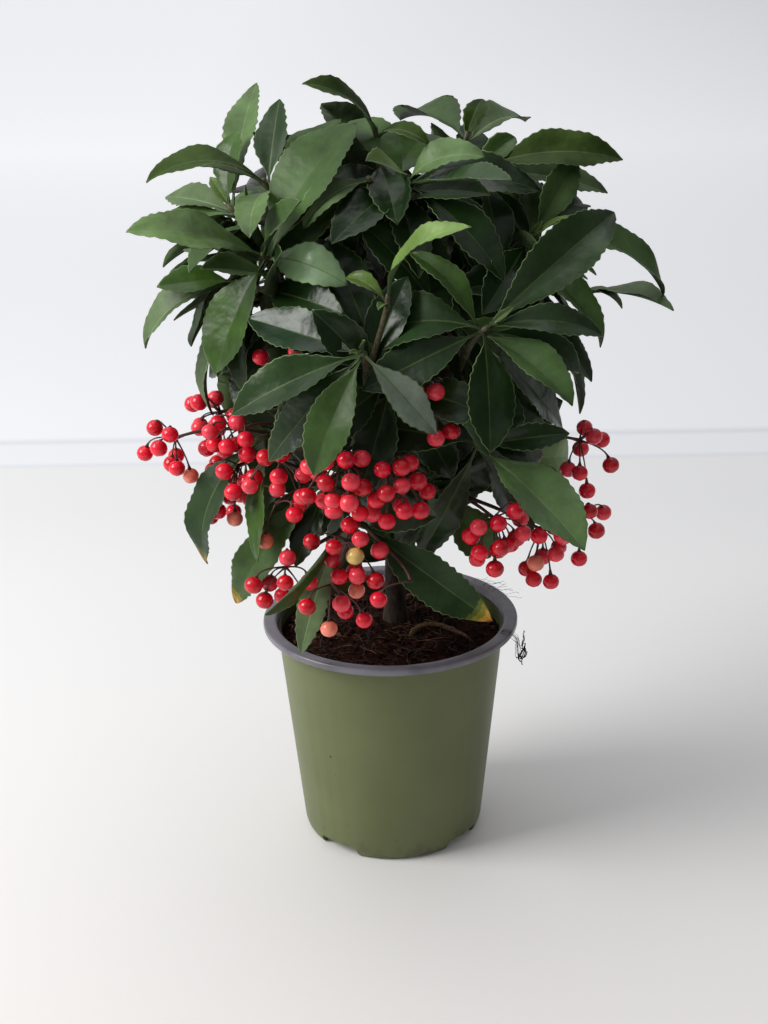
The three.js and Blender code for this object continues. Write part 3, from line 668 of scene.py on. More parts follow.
limbs = {"trunk": trunk}
for name, (leaves_at, round_by, reach, height) in BOUGHS.items():
    limbs[name] = Limb(trunk_at(leaves_at), outward(round_by, BOUGH_RISE_AT_TRUNK),
                       placed(round_by, reach, height), outward(round_by, BOUGH_RISE_AT_TIP), *BOUGH_RADII)

bark = Finish("bark", (0.09, 0.062, 0.044), 0.9)
stretched = bark.node("Mapping", {"Vector": bark.place(), "Scale": (1, 1, 0.35)}).outputs["Vector"]
cracks = bark.noise(420, 7, place=stretched)
bark.mottle(cracks, 0.34, 0.68, (0.016, 0.01, 0.007), (0.062, 0.042, 0.03))
bark.roughen(cracks, 0.6, 0.0008)


def bark_tube(name, limb, sides, rings, relief):
    """A limb's mesh with the bark's relief: lengthwise ridges, and swollen rings at old leaf scars."""
    line = limb.points(rings)
    line[0] -= limb.way(0) * 1.5
    radii = []
    for i, spot in enumerate(line):
        scar = math.sin(i * 1.7 + limb.length) ** 8
        radii.append(limb.radius(i / rings) + relief * scar)
    tube_points, tube_faces = tube(line, radii, sides)
    centres = np.repeat(line, sides, axis=0)
    grown = []
    for point, centre in zip(tube_points, centres):
        out = unit(point - centre)
        ridge = noise.noise(Vector((out[0] * 5, out[1] * 5, centre[2] * 0.07)))
        fine = noise.noise(Vector(point) * 0.5)
        grown.append(point + out * relief * (1.1 * ridge + 0.5 * fine))
    return skin_piece(name, np.array(grown) * MM, tube_faces, [bark])


for name, limb in limbs.items():
    is_trunk = name == "trunk"
    piece = bark_tube(name + "_bark", limb, 20 if is_trunk else 14, 90 if is_trunk else 34,
                      0.5 if is_trunk else 0.28)
    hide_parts(name)
    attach(piece, "root")


# The twigs. Each mass of foliage goes on from its bough's tip, and each fruiting branch from the trunk: one
# stem that runs to its first end, with thinner twigs that fork from it. They are green-brown and smooth.
def whorl(round_by, reach, height, facing, tilt, more, told=(), first=None):
    """The end of a twig that carries leaves. told has single leaves: heading, opening, size, tone, bend in
    degrees, breadth and, for some, how far back from the twig's tip they grow."""
    return {"round": round_by, "reach": reach, "height": height, "facing": facing, "tilt": tilt,
            "more": more, "told": told, "first": first}


# Masses of foliage: the bough that carries each, the seed of its random numbers, and its whorls.
FOLIAGE = [
    ("foliage_front", "bough_front", 11, [
        whorl(-97, 94.5, 304.5, -97, 62, 0,
              [(204, 100, 0.9, "deep_soft", 38, 0.92), (248, 100, 0.8, "mid_dull", 52, 0.94),
               # The second leaf here is painted pale grey, a painted reflection of the window lamp.
               (160, 108, 0.85, "glossy", 12, 0.94), (316, 124, 0.7, "silver", 12, 0.85),
               (224, 116, 0.95, "deep", 25, 0.8), (196, 116, 1, "deep", 52, 0.75),
               (40, 14, 0.2, "mid", 20, 0.5, 1), (190, 10, 0.16, "young", 20, 0.5, 1)]),
        whorl(-89, 72, 326, -88, 40, 0,
              [(356, 32, 0.92, "young_bright", 72, 0.6), (140, 92, 0.35, "young", 88, 0.8),
               (250, 40, 0.28, "young_bright", 40, 0.5)]),
        whorl(-84, 56, 276, -84, 84, 0,
              [(299, 100, 0.78, "deep", 30, 0.95), (249, 70, 0.78, "deep", 30, 0.95),
               (212, 70, 0.72, "deep_dull", 30, 0.95), (342, 70, 0.72, "deep", 30, 0.95)]),
    ]),
    ("foliage_front_right", "bough_front_right", 12, [
        whorl(-57, 89, 310, -57, 62, 0,
              [(158, 132, 0.85, "deep_dull", 88, 1.32), (28, 72, 1.2, "deep_soft", 68, 0.84),
               (284, 52, 0.8, "mid_dull", 38, 1.05), (256, 92, 0.75, "deep", 12, 1.15),
               (188, 124, 0.8, "deep", 12, 0.95), (108, 108, 0.7, "mid", 68, 0.75),
               (340, 66, 0.8, "deep_soft", 88, 0.72), (328, 88, 0.75, "deep_dull", 68, 0.85),
               (320, 116, 1.1, "deep", 12, 0.78), (200, 16, 0.18, "mid", 20, 0.5, 1),
               (30, 22, 0.22, "young", 20, 0.5, 1)]),
        whorl(-56, 85, 246, -54, 80, 2,
              [(284, 40, 0.95, "glossy_mid", 25, 1.2), (0, 60, 0.6, "deep", 52, 0.75),
               (160, 124, 0.8, "deep", 12, 1), (286, 108, 0.65, "deep", 12, 1),
               (264, 112, 0.9, "deep", 12, 0.75)]),
        whorl(-62, 48, 318, -80, 64, 3, first=200),
    ]),
    ("foliage_left", "bough_left", 13, [
        whorl(210, 70, 338, 232, 56, 2,
              # The second leaf here has a pale colour with a painted reflection of the window lamp in it.
              [(212, 28, 0.95, "soft_bright", 38, 1.06), (356, 100, 0.65, "sheen", 88, 1.06),
               (76, 92, 1.05, "mid_dull", 52, 1.3), (254, 102, 0.8, "mid", 25, 1.33),
               (226, 24, 0.6, "soft_bright", 20, 1, 20)]),
        whorl(195, 78, 321, 215, 66, 3,
              [(236, 68, 0.85, "soft_dull", 88, 0.85), (28, 124, 0.6, "mid_dull", 12, 0.9, 24),
               (256, 96, 1, "soft_dull", 88, 0.6, 14)]),
    ]),
    ("foliage_top_left", "bough_top_left", 14, [
        whorl(189, 61, 370, 225, 38, 3,
              [(238, 50, 0.85, "olive", 88, 0.95), (108, 68, 0.6, "deep_dull", 12, 1.06),
               (308, 72, 0.7, "soft", 52, 0.86)]),
        whorl(174, 80, 354, 205, 30, 3,
              [(128, 66, 1.0, "soft", 25, 0.72), (204, 72, 0.6, "soft_dull", 25, 1.04),
               (232, 68, 0.7, "soft", 38, 0.8), (170, 50, 0.3, "young", 30, 0.7)]),
        whorl(176, 56, 322, 176, 66, 5, first=250),
    ]),
    ("foliage_top", "trunk", 15, [
        whorl(233, 6, 394, -100, 36, 2,
              [(188, 40, 0.65, "olive", 68, 0.86), (336, 76, 0.45, "olive", 88, 0.79),
               (200, 12, 0.24, "young_bright", 20, 0.5)]),
        whorl(256, 31, 374, -110, 50, 0,
              # The second leaf here is dark with a painted bluish reflection of the sky in its colour.
              [(224, 72, 0.55, "soft_dull", 88, 1.04), (280, 124, 0.6, "slate", 30, 0.66),
               (252, 128, 0.6, "deep", 12, 0.85)]),
        whorl(-59, 25, 370, -72, 45, 2,
              [(344, 48, 0.6, "soft", 88, 1.16), (308, 112, 0.85, "deep", 88, 1),
               (300, 38, 1.05, "deep_soft", 12, 0.72), (285, 96, 0.9, "deep", 50, 0.9),
               (110, 98, 0.65, "mid_dull", 68, 1.1)]),
    ]),
    ("foliage_top_right", "bough_top_right", 16, [
        whorl(0, 50, 374, -45, 52, 1,
              [(332, 56, 0.95, "olive", 52, 0.95), (328, 72, 0.9, "soft_dull", 30, 0.8),
               (20, 56, 0.4, "mid", 88, 0.97), (250, 92, 0.7, "deep", 30, 0.95)]),
        whorl(25, 48, 387, -60, 25, 3,
              [(96, 112, 0.74, "mid_dull", 55, 1.5), (44, 52, 0.35, "olive", 88, 0.92),
               (20, 92, 0.7, "soft_dull", 68, 1.08)]),
    ]),
    ("foliage_right", "bough_right", 17, [
        whorl(-15, 77, 342, -35, 45, 3,
              [(54, 90, 0.65, "mid_dull", 88, 0.96), (316, 16, 0.35, "young_bright", 38, 0.75),
               (60, 14, 0.2, "young_bright", 20, 0.6), (4, 76, 0.65, "deep_dull", 88, 0.85),
               (312, 80, 1.1, "mid_dull", 88, 0.95)]),
        whorl(5, 107, 306, -30, 62, 0,
              [(268, 32, 0.65, "soft", 38, 1.2), (268, 40, 0.35, "soft_bright", 88, 1),
               (292, 100, 0.45, "olive", 38, 1.1)]),
        whorl(24, 76, 318, 24, 66, 5, first=60),
    ]),
    ("foliage_back_right", "bough_back_right", 18, [
        whorl(52, 94, 302, 50, 62, 9, first=30), whorl(66, 74, 342, 60, 44, 8, first=200),
        whorl(36, 74, 352, 30, 40, 7, first=100),
    ]),
    ("foliage_back", "bough_back", 19, [
        whorl(92, 54, 366, 90, 46, 8, first=90), whorl(96, 88, 322, 95, 60, 8, first=10),
        whorl(118, 70, 352, 125, 46, 7, first=60),
    ]),
    ("foliage_back_left", "bough_back_left", 20, [
        whorl(136, 96, 306, 136, 62, 9, first=150), whorl(156, 86, 340, 156, 48, 8, first=330),
        whorl(164, 90, 300, 166, 62, 0, first=20),
    ]),
]
# Fruiting branches: the height at the trunk, the seed, the umbels as round, reach, height and number of
# berries, and the whorls.
FRUITING = [
    ("fruit_left", 204, 31, [(190.5, 112, 238.5, 8), (181, 88, 246, 12), (204, 80, 247.5, 10),
                             (224, 63, 297, 4)],
     [whorl(204, 74, 240, 215, 96, 0, [(256, 72, 1.05, "tipped", 88, 0.87), (276, 60, 0.85, "mid", 12, 0.72)],
            first=20)]),
    ("fruit_left_low", 176, 32, [(203, 84, 227, 9), (187.5, 83.5, 211, 5)],
     [whorl(222, 62, 214, 222, 100, 3, first=290)]),
    ("fruit_front_left", 194, 33, [(229, 81, 240, 9), (227, 83, 216.5, 2)],
     [whorl(236, 62, 222, 236, 104, 3,
            [(234, 66, 1.15, "dull_tipped", 68, 0.68), (216, 72, 0.62, "mid_dull", 12, 0.75),
             (260, 48, 0.6, "deep", 12, 0.9)], first=236)]),
    ("fruit_front", 184, 34, [(255, 86, 247, 16), (270, 80, 240.5, 15), (-67, 68, 278, 5)],
     [whorl(-66, 50, 226, -68, 104, 2,
            [(276, 72, 0.65, "olive", 12, 0.95), (265, 73, 0.6, "deep", 30, 0.95)], first=180)]),
    ("fruit_front_low", 162, 35, [(228.5, 80, 181.5, 8), (253.5, 74, 199.5, 11), (246.5, 75, 175, 7),
                                  (-83, 85, 183, 1)],
     [whorl(256, 66, 205, 262, 100, 1, [(328, 76, 1.05, "tipped", 12, 0.84)], first=120),
      whorl(243, 60, 194, 250, 118, 1,
            [(252, 44, 0.85, "soft_dull", 52, 0.6), (104, 20, 1.05, "mid", 12, 0.6)], first=160)]),
    ("fruit_front_right", 192, 36, [(-54, 88.5, 211, 14), (-32.5, 92.5, 195.5, 13)],
     [whorl(-62, 58, 216, -62, 108, 4, first=230)]),
    ("fruit_right", 200, 37, [(-1, 102, 227, 8), (-7.5, 103, 189.5, 5)],
     [whorl(6, 74, 214, 6, 108, 4, first=300)]),
    ("fruit_back_right", 180, 38, [(42, 92, 232, 9), (58, 84, 208, 5)],
     [whorl(50, 72, 212, 50, 108, 5, first=240)]),
    ("fruit_back", 190, 39, [(88, 92, 234, 9), (104, 82, 210, 5)],
     [whorl(96, 70, 214, 96, 108, 5, first=310)]),
    ("fruit_back_left", 174, 40, [(134, 90, 234, 9), (152, 88, 208, 5)],
     [whorl(142, 72, 212, 142, 108, 5, first=250)]),
]

MOST_CLAIMS = 9000
BALL_STEP = 3.4
claims = []
claim_centres = np.zeros((MOST_CLAIMS, 3))
claim_reaches = np.zeros(MOST_CLAIMS)


def seeded(seed):
    """Numbers from 0 to 1 in an order that only depends on the seed."""
    state = seed * 7919 + 1
    while True:
        state = (state * 1664525 + 1013904223) % 4294967296
        yield state / 4294967296


def ball_round(points, radius):
    centre = (points.min(axis=0) + points.max(axis=0)) / 2
    return centre, np.linalg.norm(points - centre, axis=1).max() + radius


def claim_space(owner, is_root, points, radius):
    """Keeps later growth out of the small balls round some points."""
    count = len(claims)
    claim_centres[count], claim_reaches[count] = ball_round(points, radius)
    claims.append((owner, is_root, points, radius))


def is_clear(owner, is_root, points, radius):
    """Whether balls round these points are free. Twigs and leaf roots of one mass may touch each other."""
    centre, reach = ball_round(points, radius)
    count = len(claims)
    apart = np.linalg.norm(claim_centres[:count] - centre, axis=1)
    for i in np.nonzero(apart <= reach + claim_reaches[:count])[0]:
        other_owner, other_is_root, others, other_radius = claims[i]
        if owner == other_owner and (is_root or other_is_root):
            continue
        squares = (points ** 2).sum(axis=1)[:, None] + (others ** 2).sum(axis=1) - 2 * points @ others.T
        if squares.min() <= (radius + other_radius) ** 2:
            return False
    return True


def claim_limb(owner, limb):
    claim_space(owner, True, limb.points(math.ceil(limb.length / BALL_STEP)), limb.radius(0.5) + 0.8)


for name, limb in limbs.items():
    claim_limb(name, limb)


FIRST_FORK = 0.34
FORK_STEP = 0.14
STEM_RADIUS = 2.4
FORK_RADIUS = 2
TWIG_RADIUS = 1.8
UMBEL_RISE = -18
BRANCH_RISE = 34
# Twigs of leaves and of berries: the radius at the root, how much it narrows, and the knuckles on it.
LEAFY_TWIG = (1.7, 0.5, 0.14)
FRUIT_TWIG = (1.3, 0.55, 0.06)
KNOB_RADIUS = 1.15


def lay_out(name, whorls, umbels, start, start_way, seed):
    """Lays out a mass's stem and twigs, which end in its whorls and umbels."""
    ends = [{"whorl": w, "place": placed(w["round"], w["reach"], w["height"]),
             "way": outward(w["facing"], 90 - w["tilt"])} for w in whorls]
    ends += [{"berries": count, "place": placed(round_by, reach, height),
              "way": outward(round_by, UMBEL_RISE)} for round_by, reach, height, count in umbels]
    stem = Limb(start, start_way, ends[0]["place"], ends[0]["way"], STEM_RADIUS, TWIG_RADIUS)
    for i, end in enumerate(ends):
        fork_at = max(FIRST_FORK + FORK_STEP * (i - 1), 0)
        fork = stem.at(fork_at)
        fork_way = unit(unit(end["place"] - fork) * 2 + stem.way(fork_at))
        end["twig"] = stem if i == 0 else Limb(fork, fork_way, end["place"], end["way"], FORK_RADIUS,
                                               TWIG_RADIUS)
        claim_limb(name, end["twig"])
    return {"name": name, "ends": ends, "random": seeded(seed), "tints": random.Random(seed),
            "fruiting": bool(umbels)}


masses = []
for name, bough, seed, whorls in FOLIAGE:
    carrier = limbs[bough]
    masses.append(lay_out(name, whorls, [], carrier.at(1), carrier.way(1), seed))
for name, leaves_at, seed, umbels, whorls in FRUITING:
    start_way = outward(umbels[0][0], BRANCH_RISE)
    masses.append(lay_out(name, whorls, umbels, trunk_at(leaves_at), start_way, seed))

twig_skin = Finish("twig_skin", (0.1, 0.085, 0.04), 0.6)
twig_skin.mottle(twig_skin.noise(500, 4), 0.35, 0.65, (0.045, 0.035, 0.018), (0.1, 0.095, 0.04))
fruit_stalk = Finish("fruit_stalk", (0.07, 0.028, 0.018), 0.55)

points, faces, kinds = [], [], []
for mass in masses:
    for end in mass["ends"]:
        twig = end["twig"]
        rings = max(8, math.ceil(twig.length / 5))
        line = twig.points(rings)
        along = np.linspace(0, 1, rings + 1)
        radius, narrowing, knuckle = LEAFY_TWIG if "whorl" in end else FRUIT_TWIG
        radii = radius - narrowing * along + knuckle * (np.arange(rings + 1) % 2)
        if "berries" in end:
            radii[-1] = KNOB_RADIUS
        if twig is mass["ends"][0]["twig"]:
            radii = radii + 0.7 * (1 - along)
        count = add_tube(points, faces, line, radii, 9)
        kinds.extend([0 if "whorl" in end else 1] * count)
twigs = skin_piece("twigs", np.array(points) * MM, faces, [twig_skin, fruit_stalk], kinds)
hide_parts(*[mass["name"] for mass in masses])
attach(twigs, "root")


# The leaves. Leathery, dark and glossy, with a paler midrib, a wavy scalloped margin with a pale edge, and a
# dull underside. Each folds up from its midrib and bends down in an arc. Old tips turn yellow and brown.
LEAF_LENGTH = 80
LEAF_WIDTH = 30
LEAF_STALK = 0.09
# The room that a leaf keeps round it: told one by one, ruled, or one of the shaded leaves inside the crown.
TOLD_ROOM = 0.7
RULED_ROOM = 1.9
INNER_ROOM = 0.6
# What isn't told of a leaf is drawn between two limits: breadth, bend and fold, the last two in degrees.
BREADTHS = (0.92, 1.08)
BENDS = (22, 52)
FOLDS = (11, 25)
# The crown is a dome: how far it reaches out, where its shoulder lies, and how far it rises above that.
CROWN_REACH = 148
SHOULDER = 260
CROWN_RISE = 155
GOLDEN_ANGLE = 137.5
# The turns of heading and opening that a blocked leaf tries, in order.
LEAF_TURNS = [(0, 0), (0, 8), (8, 0), (-8, 0), (0, -9), (14, 6), (-14, 6), (14, -8), (-14, -8), (0, 18),
              (20, 0), (-20, 0), (0, -20), (24, 14), (-24, 14), (30, 0), (-30, 0)]
TOLD_TURNS = [(0, 0), (0, 4), (4, 0), (-4, 0), (0, -4), (4, 4), (-4, 4), (4, -4), (-4, -4)] + LEAF_TURNS[1:]


def mix(low, high, share):
    return low + (high - low) * share


def blade_width(t):
    """How wide the blade is, from 0 to 1, at each share of the leaf's length."""
    along = np.clip((np.asarray(t, dtype=float) - LEAF_STALK) / (1 - LEAF_STALK), 0, 1)
    return np.maximum(0.06 * (1 - along), np.sin(np.pi * along) ** mix(0.85, 1.35, along))


def leaf_line(leaf, turn):
    """The midrib's upward normals and points where a leaf has bent by that much."""
    normal = np.cos(turn)[:, None] * leaf["face"] + np.sin(turn)[:, None] * leaf["way"]
    line = leaf["base"] + leaf["length"] / leaf["bend"] * (
        np.sin(turn)[:, None] * leaf["way"] - (1 - np.cos(turn))[:, None] * leaf["face"])
    return normal, line


def leaf_points(leaf, t, across):
    """Points on a leaf at t along it and at across, from -1 at one margin to 1 at the other."""
    turn = leaf["bend"] * t
    half = 0.5 * leaf["width"] * blade_width(t)
    normal, line = leaf_line(leaf, turn)
    return (line + (across * half * math.cos(leaf["fold"]))[:, None] * leaf["side"]
            + (np.abs(across) * half * math.sin(leaf["fold"]))[:, None] * normal)


def leaf_from(base, axis, right, heading, opening, length, width, bend, fold):
    """A leaf whose tip lies at a heading round the whorl's axis and at an opening from it."""
    above = np.cross(axis, right)
    chord = (axis * math.cos(opening) + right * math.sin(opening) * math.cos(heading)
             + above * math.sin(opening) * math.sin(heading))
    level = axis + 0.3 * UP
    level = unit(level - chord * level.dot(chord))
    way = chord * math.cos(bend / 2) + level * math.sin(bend / 2)
    face = level * math.cos(bend / 2) - chord * math.sin(bend / 2)
    return {"base": base, "way": way, "face": face, "side": np.cross(way, face), "length": length,
            "width": width, "bend": bend, "fold": fold}


def leaf_space(leaf):
    """The grid of points that a leaf keeps others away from, its root apart from its blade."""
    steps = math.ceil(leaf["length"] / BALL_STEP)
    along, across = [], []
    for i in range(1, steps + 1):
        half_steps = math.ceil(0.5 * leaf["width"] * float(blade_width(i / steps)) / BALL_STEP)
        for j in range(-half_steps, half_steps + 1):
            along.append(i / steps)
            across.append(j / max(half_steps, 1))
    along, across = np.array(along), np.array(across)
    grid = leaf_points(leaf, along, across)
    return grid[along < 0.3], grid[along >= 0.3]


def is_in_crown(leaf, share, lowest):
    """Whether a leaf's tip lies within that share of the crown's dome and no lower than lowest."""
    tip = leaf_points(leaf, np.array([1.0]), np.array([0.0]))[0]
    reach = math.hypot(tip[0], tip[1]) / (CROWN_REACH * share)
    return reach ** 4 + (max(0, tip[2] - SHOULDER) / (CROWN_RISE * share)) ** 4 <= 1 and tip[2] >= lowest


def grow_leaves(mass, end, plan, room, share=None, lowest=0):
    """Grows the planned leaves of one whorl. A blocked leaf turns a little, and is left out if that doesn't
    help. With a share, leaves also keep within that share of the crown."""
    place, twig, draw = end["whorl"], end["twig"], mass["random"]
    axis = outward(place["facing"], 90 - place["tilt"])
    right = outward(place["facing"] + 90, 0)
    grown = []
    for heading, opening, size, back, tone, told_bend, breadth in plan:
        base = twig.at(1 - min(back / twig.length, 0.8))
        length = LEAF_LENGTH * size
        width = LEAF_WIDTH * size ** 0.8 * (breadth or mix(*BREADTHS, next(draw)))
        bend = math.radians(told_bend or mix(*BENDS, next(draw)))
        fold = math.radians(mix(*FOLDS, next(draw)))
        for heading_turn, opening_turn in TOLD_TURNS if breadth else LEAF_TURNS:
            leaf = leaf_from(base, axis, right, math.radians(heading + heading_turn),
                             math.radians(opening + opening_turn), length, width, bend, fold)
            if share and not is_in_crown(leaf, share, lowest):
                continue
            root, blade = leaf_space(leaf)
            if is_clear(mass["name"], True, root, room) and is_clear(mass["name"], False, blade, room):
                claim_space(mass["name"], True, root, room)
                claim_space(mass["name"], False, blade, room)
                leaf.update(tone=tone, fruiting=mass["fruiting"], told=breadth is not None)
                grown.append(leaf)
                break
    return grown


def told_plan(place):
    """The leaves told one by one sit close together at the twig's tip."""
    plan = []
    for i, (heading, opening, size, tone, bend, breadth, *back) in enumerate(place["told"]):
        plan.append((heading, opening, size, back[0] if back else 4 + 2 * (i % 3), tone, bend, breadth))
    return plan


OLD_TONES = ("deep", "deep", "deep_dull", "mid", "mid_dull", "mid_dull")
YOUNG_TONES = ("mid", "mid", "mid_dull", "soft", "soft_bright", "young")
# From a whorl's oldest leaf to its youngest: opening in degrees and size, and how far apart they grow.
OPENINGS = (98, 46)
SIZES = (0.92, 0.55)
SPACED_OVER = 32


def ruled_plan(place, draw, tints):
    """More leaves by the golden angle, from the oldest, back along the twig, to the youngest at its tip."""
    first = place["first"] if place["first"] is not None else place["told"][0][0] + 68
    plan = []
    for i in range(place["more"]):
        youth = i / max(place["more"] - 1, 1)
        heading = first + GOLDEN_ANGLE * i + 14 * (next(draw) - 0.5)
        opening = mix(*OPENINGS, youth ** 1.3) + 12 * (next(draw) - 0.5)
        size = mix(*SIZES, youth ** 1.6) * mix(0.88, 1.08, next(draw))
        tone = tints.choice(OLD_TONES if youth < 0.75 else YOUNG_TONES)
        plan.append((heading, opening, size, SPACED_OVER * (1 - youth) + 1, tone, None, None))
    return plan


leafy_ends = [(mass, end) for mass in masses for end in mass["ends"] if "whorl" in end]
leaves = []
for mass, end in leafy_ends:
    leaves += grow_leaves(mass, end, told_plan(end["whorl"]), TOLD_ROOM)

BERRY_ROOM = 4.6
STALK_ROOM = 0.9
STALK_LENGTH = 15
STALK_DROOP = 0.45
STALK_SPREAD = (0.7, 1.35)
UMBEL_OPENINGS = (10, 100)
TRIES_PER_BERRY = 16


def grow_umbel(mass, end):
    """An umbel's berries. Stalks fan out from the twig's tip and droop, and no berry touches another."""
    knob, way, draw, count = end["place"], end["way"], mass["random"], end["berries"]
    right = unit(np.cross(way, UP))
    above = np.cross(right, way)
    grown = []
    for attempt in range(count * TRIES_PER_BERRY):
        if len(grown) == count:
            break
        heading = math.radians(GOLDEN_ANGLE * attempt + 20 * next(draw))
        opening = math.radians(mix(*UMBEL_OPENINGS, math.sqrt(((attempt % count) + 0.5) / count)))
        length = STALK_LENGTH * mix(*STALK_SPREAD, next(draw))
        start = (way * math.cos(opening) + right * math.sin(opening) * math.cos(heading)
                 + above * math.sin(opening) * math.sin(heading))
        berry = knob + start * length - UP * length * STALK_DROOP
        stalk = np.array([mix(knob, berry, t) for t in (0.35, 0.5, 0.65)])
        if (is_clear(mass["name"], False, berry[None, :], BERRY_ROOM)
                and is_clear(mass["name"], False, stalk, STALK_ROOM)):
            claim_space(mass["name"], False, berry[None, :], BERRY_ROOM)
            claim_space(mass["name"], False, stalk, STALK_ROOM)
            grown.append((knob, start, length, berry))
    return grown


berries = []
for mass in masses:
    for end in mass["ends"]:
        if "berries" in end:
            berries += grow_umbel(mass, end)

# Ruled leaves keep within the dome, and a little further in where they aren't at the back.
for mass, end in leafy_ends:
    share = 1 if "back" in mass["name"] else 0.88
    plan = ruled_plan(end["whorl"], mass["random"], mass["tints"])
    leaves += grow_leaves(mass, end, plan, RULED_ROOM, share)

INNER_TONES = ("deep", "deep", "deep", "deep_dull")
INNER_LOWEST = 232


def inner_plan(end, tints):
    """Old shaded leaves further back on a twig, which fill the crown from inside."""
    plan = []
    turn = tints.uniform(0, 360)
    for i in range(7 if end["whorl"]["more"] else 4):
        size = tints.uniform(0.62, 0.95)
        back = (6 if end["whorl"]["more"] else 22) + i * 0.11 * end["twig"].length
        plan.append((turn + GOLDEN_ANGLE * i, tints.uniform(62, 108), size, back, tints.choice(INNER_TONES),
                     None, None))
    return plan


# Inner leaves stay well inside the dome, most of all at the front.
for mass, end in leafy_ends:
    share = 0.93 if "back" in mass["name"] else 0.62 if "front" in mass["name"] else 0.74
    leaves += grow_leaves(mass, end, inner_plan(end, mass["tints"]), INNER_ROOM, share, INNER_LOWEST)

# A ruled leaf's blade widens by one of these, the first at which it stays clear of its neighbours.
LEAF_SPREADS = (1.24, 1.12)
BLADE_GAP = 2.0
blade_rows = np.arange(0.14, 0.98, 0.04)
solid_balls = [(points, ball_round(points, radius), radius) for owner, is_root, points, radius in claims
               if radius not in (TOLD_ROOM, RULED_ROOM, INNER_ROOM)]


def blade_grid(leaf, spread, columns):
    along = np.repeat(blade_rows, len(columns))
    return leaf_points(dict(leaf, width=leaf["width"] * spread), along, np.tile(columns, len(blade_rows)))


grids = []
for leaf in leaves:
    grid = blade_grid(leaf, 1, np.linspace(-1, 1, 9))
    grids.append((grid, *ball_round(grid, 0)))
centres = np.array([centre for grid, centre, reach in grids])
reaches = np.array([reach for grid, centre, reach in grids])
for i, leaf in enumerate(leaves):
    for spread in () if leaf["told"] else LEAF_SPREADS:
        sides = blade_grid(leaf, spread, np.array([-1, -0.85, 0.85, 1]))
        centre, reach = ball_round(sides, 0)
        near = np.nonzero(np.linalg.norm(centres - centre, axis=1) < reaches + reach + BLADE_GAP)[0]
        others = [grids[j][0] for j in near if j != i]
        others += [points for points, (spot, far), radius in solid_balls
                   if np.linalg.norm(spot - centre) < far + reach]
        if all(((sides[:, None] - other[None]) ** 2).sum(axis=2).min() > BLADE_GAP ** 2 for other in others):
            leaf["width"] *= spread
            grid = blade_grid(leaf, 1, np.linspace(-1, 1, 9))
            grids[i] = (grid, *ball_round(grid, 0))
            centres[i], reaches[i] = grids[i][1], grids[i][2]
            break


def leaf_finish(name, colour, roughness, shine):
    """Leaf skin in one plain colour that varies a little from place to place, with shallow side veins."""
    finish = Finish(name, colour, roughness)
    low, high = tuple(c * 0.6 for c in colour), tuple(c * 1.5 for c in colour)
    finish.mottle(finish.noise(32, 7, 0.66), 0.34, 0.68, low, high)
    out = finish.reckon("ABSOLUTE", finish.axis("X", "UV"))
    slant = finish.reckon("MULTIPLY_ADD", out, -0.7, finish.axis("Y", "UV"))
    veins = finish.reckon("SINE", finish.reckon("MULTIPLY", slant, 2 * math.pi))
    finish.roughen(finish.noise(130), 0.5, 0.0012, finish.roughen(veins, 0.12, 0.0001))
    finish.set("Specular IOR Level", shine)
    return finish


# Each leaf tone's colour, roughness and shine, then those of ribs, margins, undersides and old tips.
LEAF_TONES = {
    "deep": ((0.01, 0.028, 0.006), 0.3, 0.36),
    "deep_soft": ((0.017, 0.042, 0.009), 0.32, 0.34),
    "deep_dull": ((0.016, 0.038, 0.01), 0.44, 0.18),
    "glossy": ((0.012, 0.032, 0.012), 0.32, 0.46),
    # This tone's blue-grey is a painted bluish reflection of the sky on a dark leaf.
    "slate": ((0.024, 0.03, 0.031), 0.35, 0.45),
    "glossy_mid": ((0.085, 0.155, 0.048), 0.28, 0.45),
    # This pale green colour is a painted reflection of the window lamp on the leaf.
    "sheen": ((0.19, 0.31, 0.145), 0.28, 0.7),
    # This pale grey colour is a painted reflection of the window lamp on a glossy leaf.
    "silver": ((0.21, 0.26, 0.2), 0.3, 0.5),
    "mid": ((0.036, 0.084, 0.011), 0.34, 0.3),
    "mid_dull": ((0.042, 0.086, 0.02), 0.42, 0.22),
    "soft": ((0.092, 0.16, 0.05), 0.38, 0.3),
    "soft_dull": ((0.084, 0.13, 0.054), 0.45, 0.24),
    "soft_bright": ((0.105, 0.185, 0.05), 0.36, 0.3),
    "young": ((0.095, 0.165, 0.022), 0.36, 0.28),
    "young_bright": ((0.12, 0.2, 0.042), 0.38, 0.25),
    "olive": ((0.026, 0.052, 0.004), 0.42, 0.13),
    "rib": ((0.055, 0.09, 0.027), 0.45, 0.2),
    "pale_rib": ((0.15, 0.215, 0.095), 0.45, 0.2),
    "margin": ((0.12, 0.165, 0.072), 0.5, 0.2),
    "under": ((0.055, 0.09, 0.034), 0.6, 0.15),
    "fading": ((0.07, 0.09, 0.014), 0.45, 0.2),
    "turning": ((0.17, 0.15, 0.018), 0.45, 0.2),
    "yellow": ((0.36, 0.21, 0.03), 0.5, 0.2),
    "brown": ((0.2, 0.07, 0.014), 0.6, 0.15),
}
leaf_finishes = [leaf_finish("leaf_" + name, *look) for name, look in LEAF_TONES.items()]
FINISH_OF = {name: i for i, name in enumerate(LEAF_TONES)}
FINISH_OF.update(tipped=FINISH_OF["deep_dull"], dull_tipped=FINISH_OF["mid_dull"])
PALE_TONES = ("glossy_mid", "sheen", "silver", "soft", "soft_dull", "soft_bright", "young", "young_bright")
# Where along an old leaf's blade each of the colours of its tip begins.
TIP_TONES = {"fading": 0.86, "turning": 0.9, "yellow": 0.935, "brown": 0.98}
TIP_START = 0.83
TOOTH_LENGTH = 5
WAVE_LENGTH = 34
VEIN_SPACING = 5
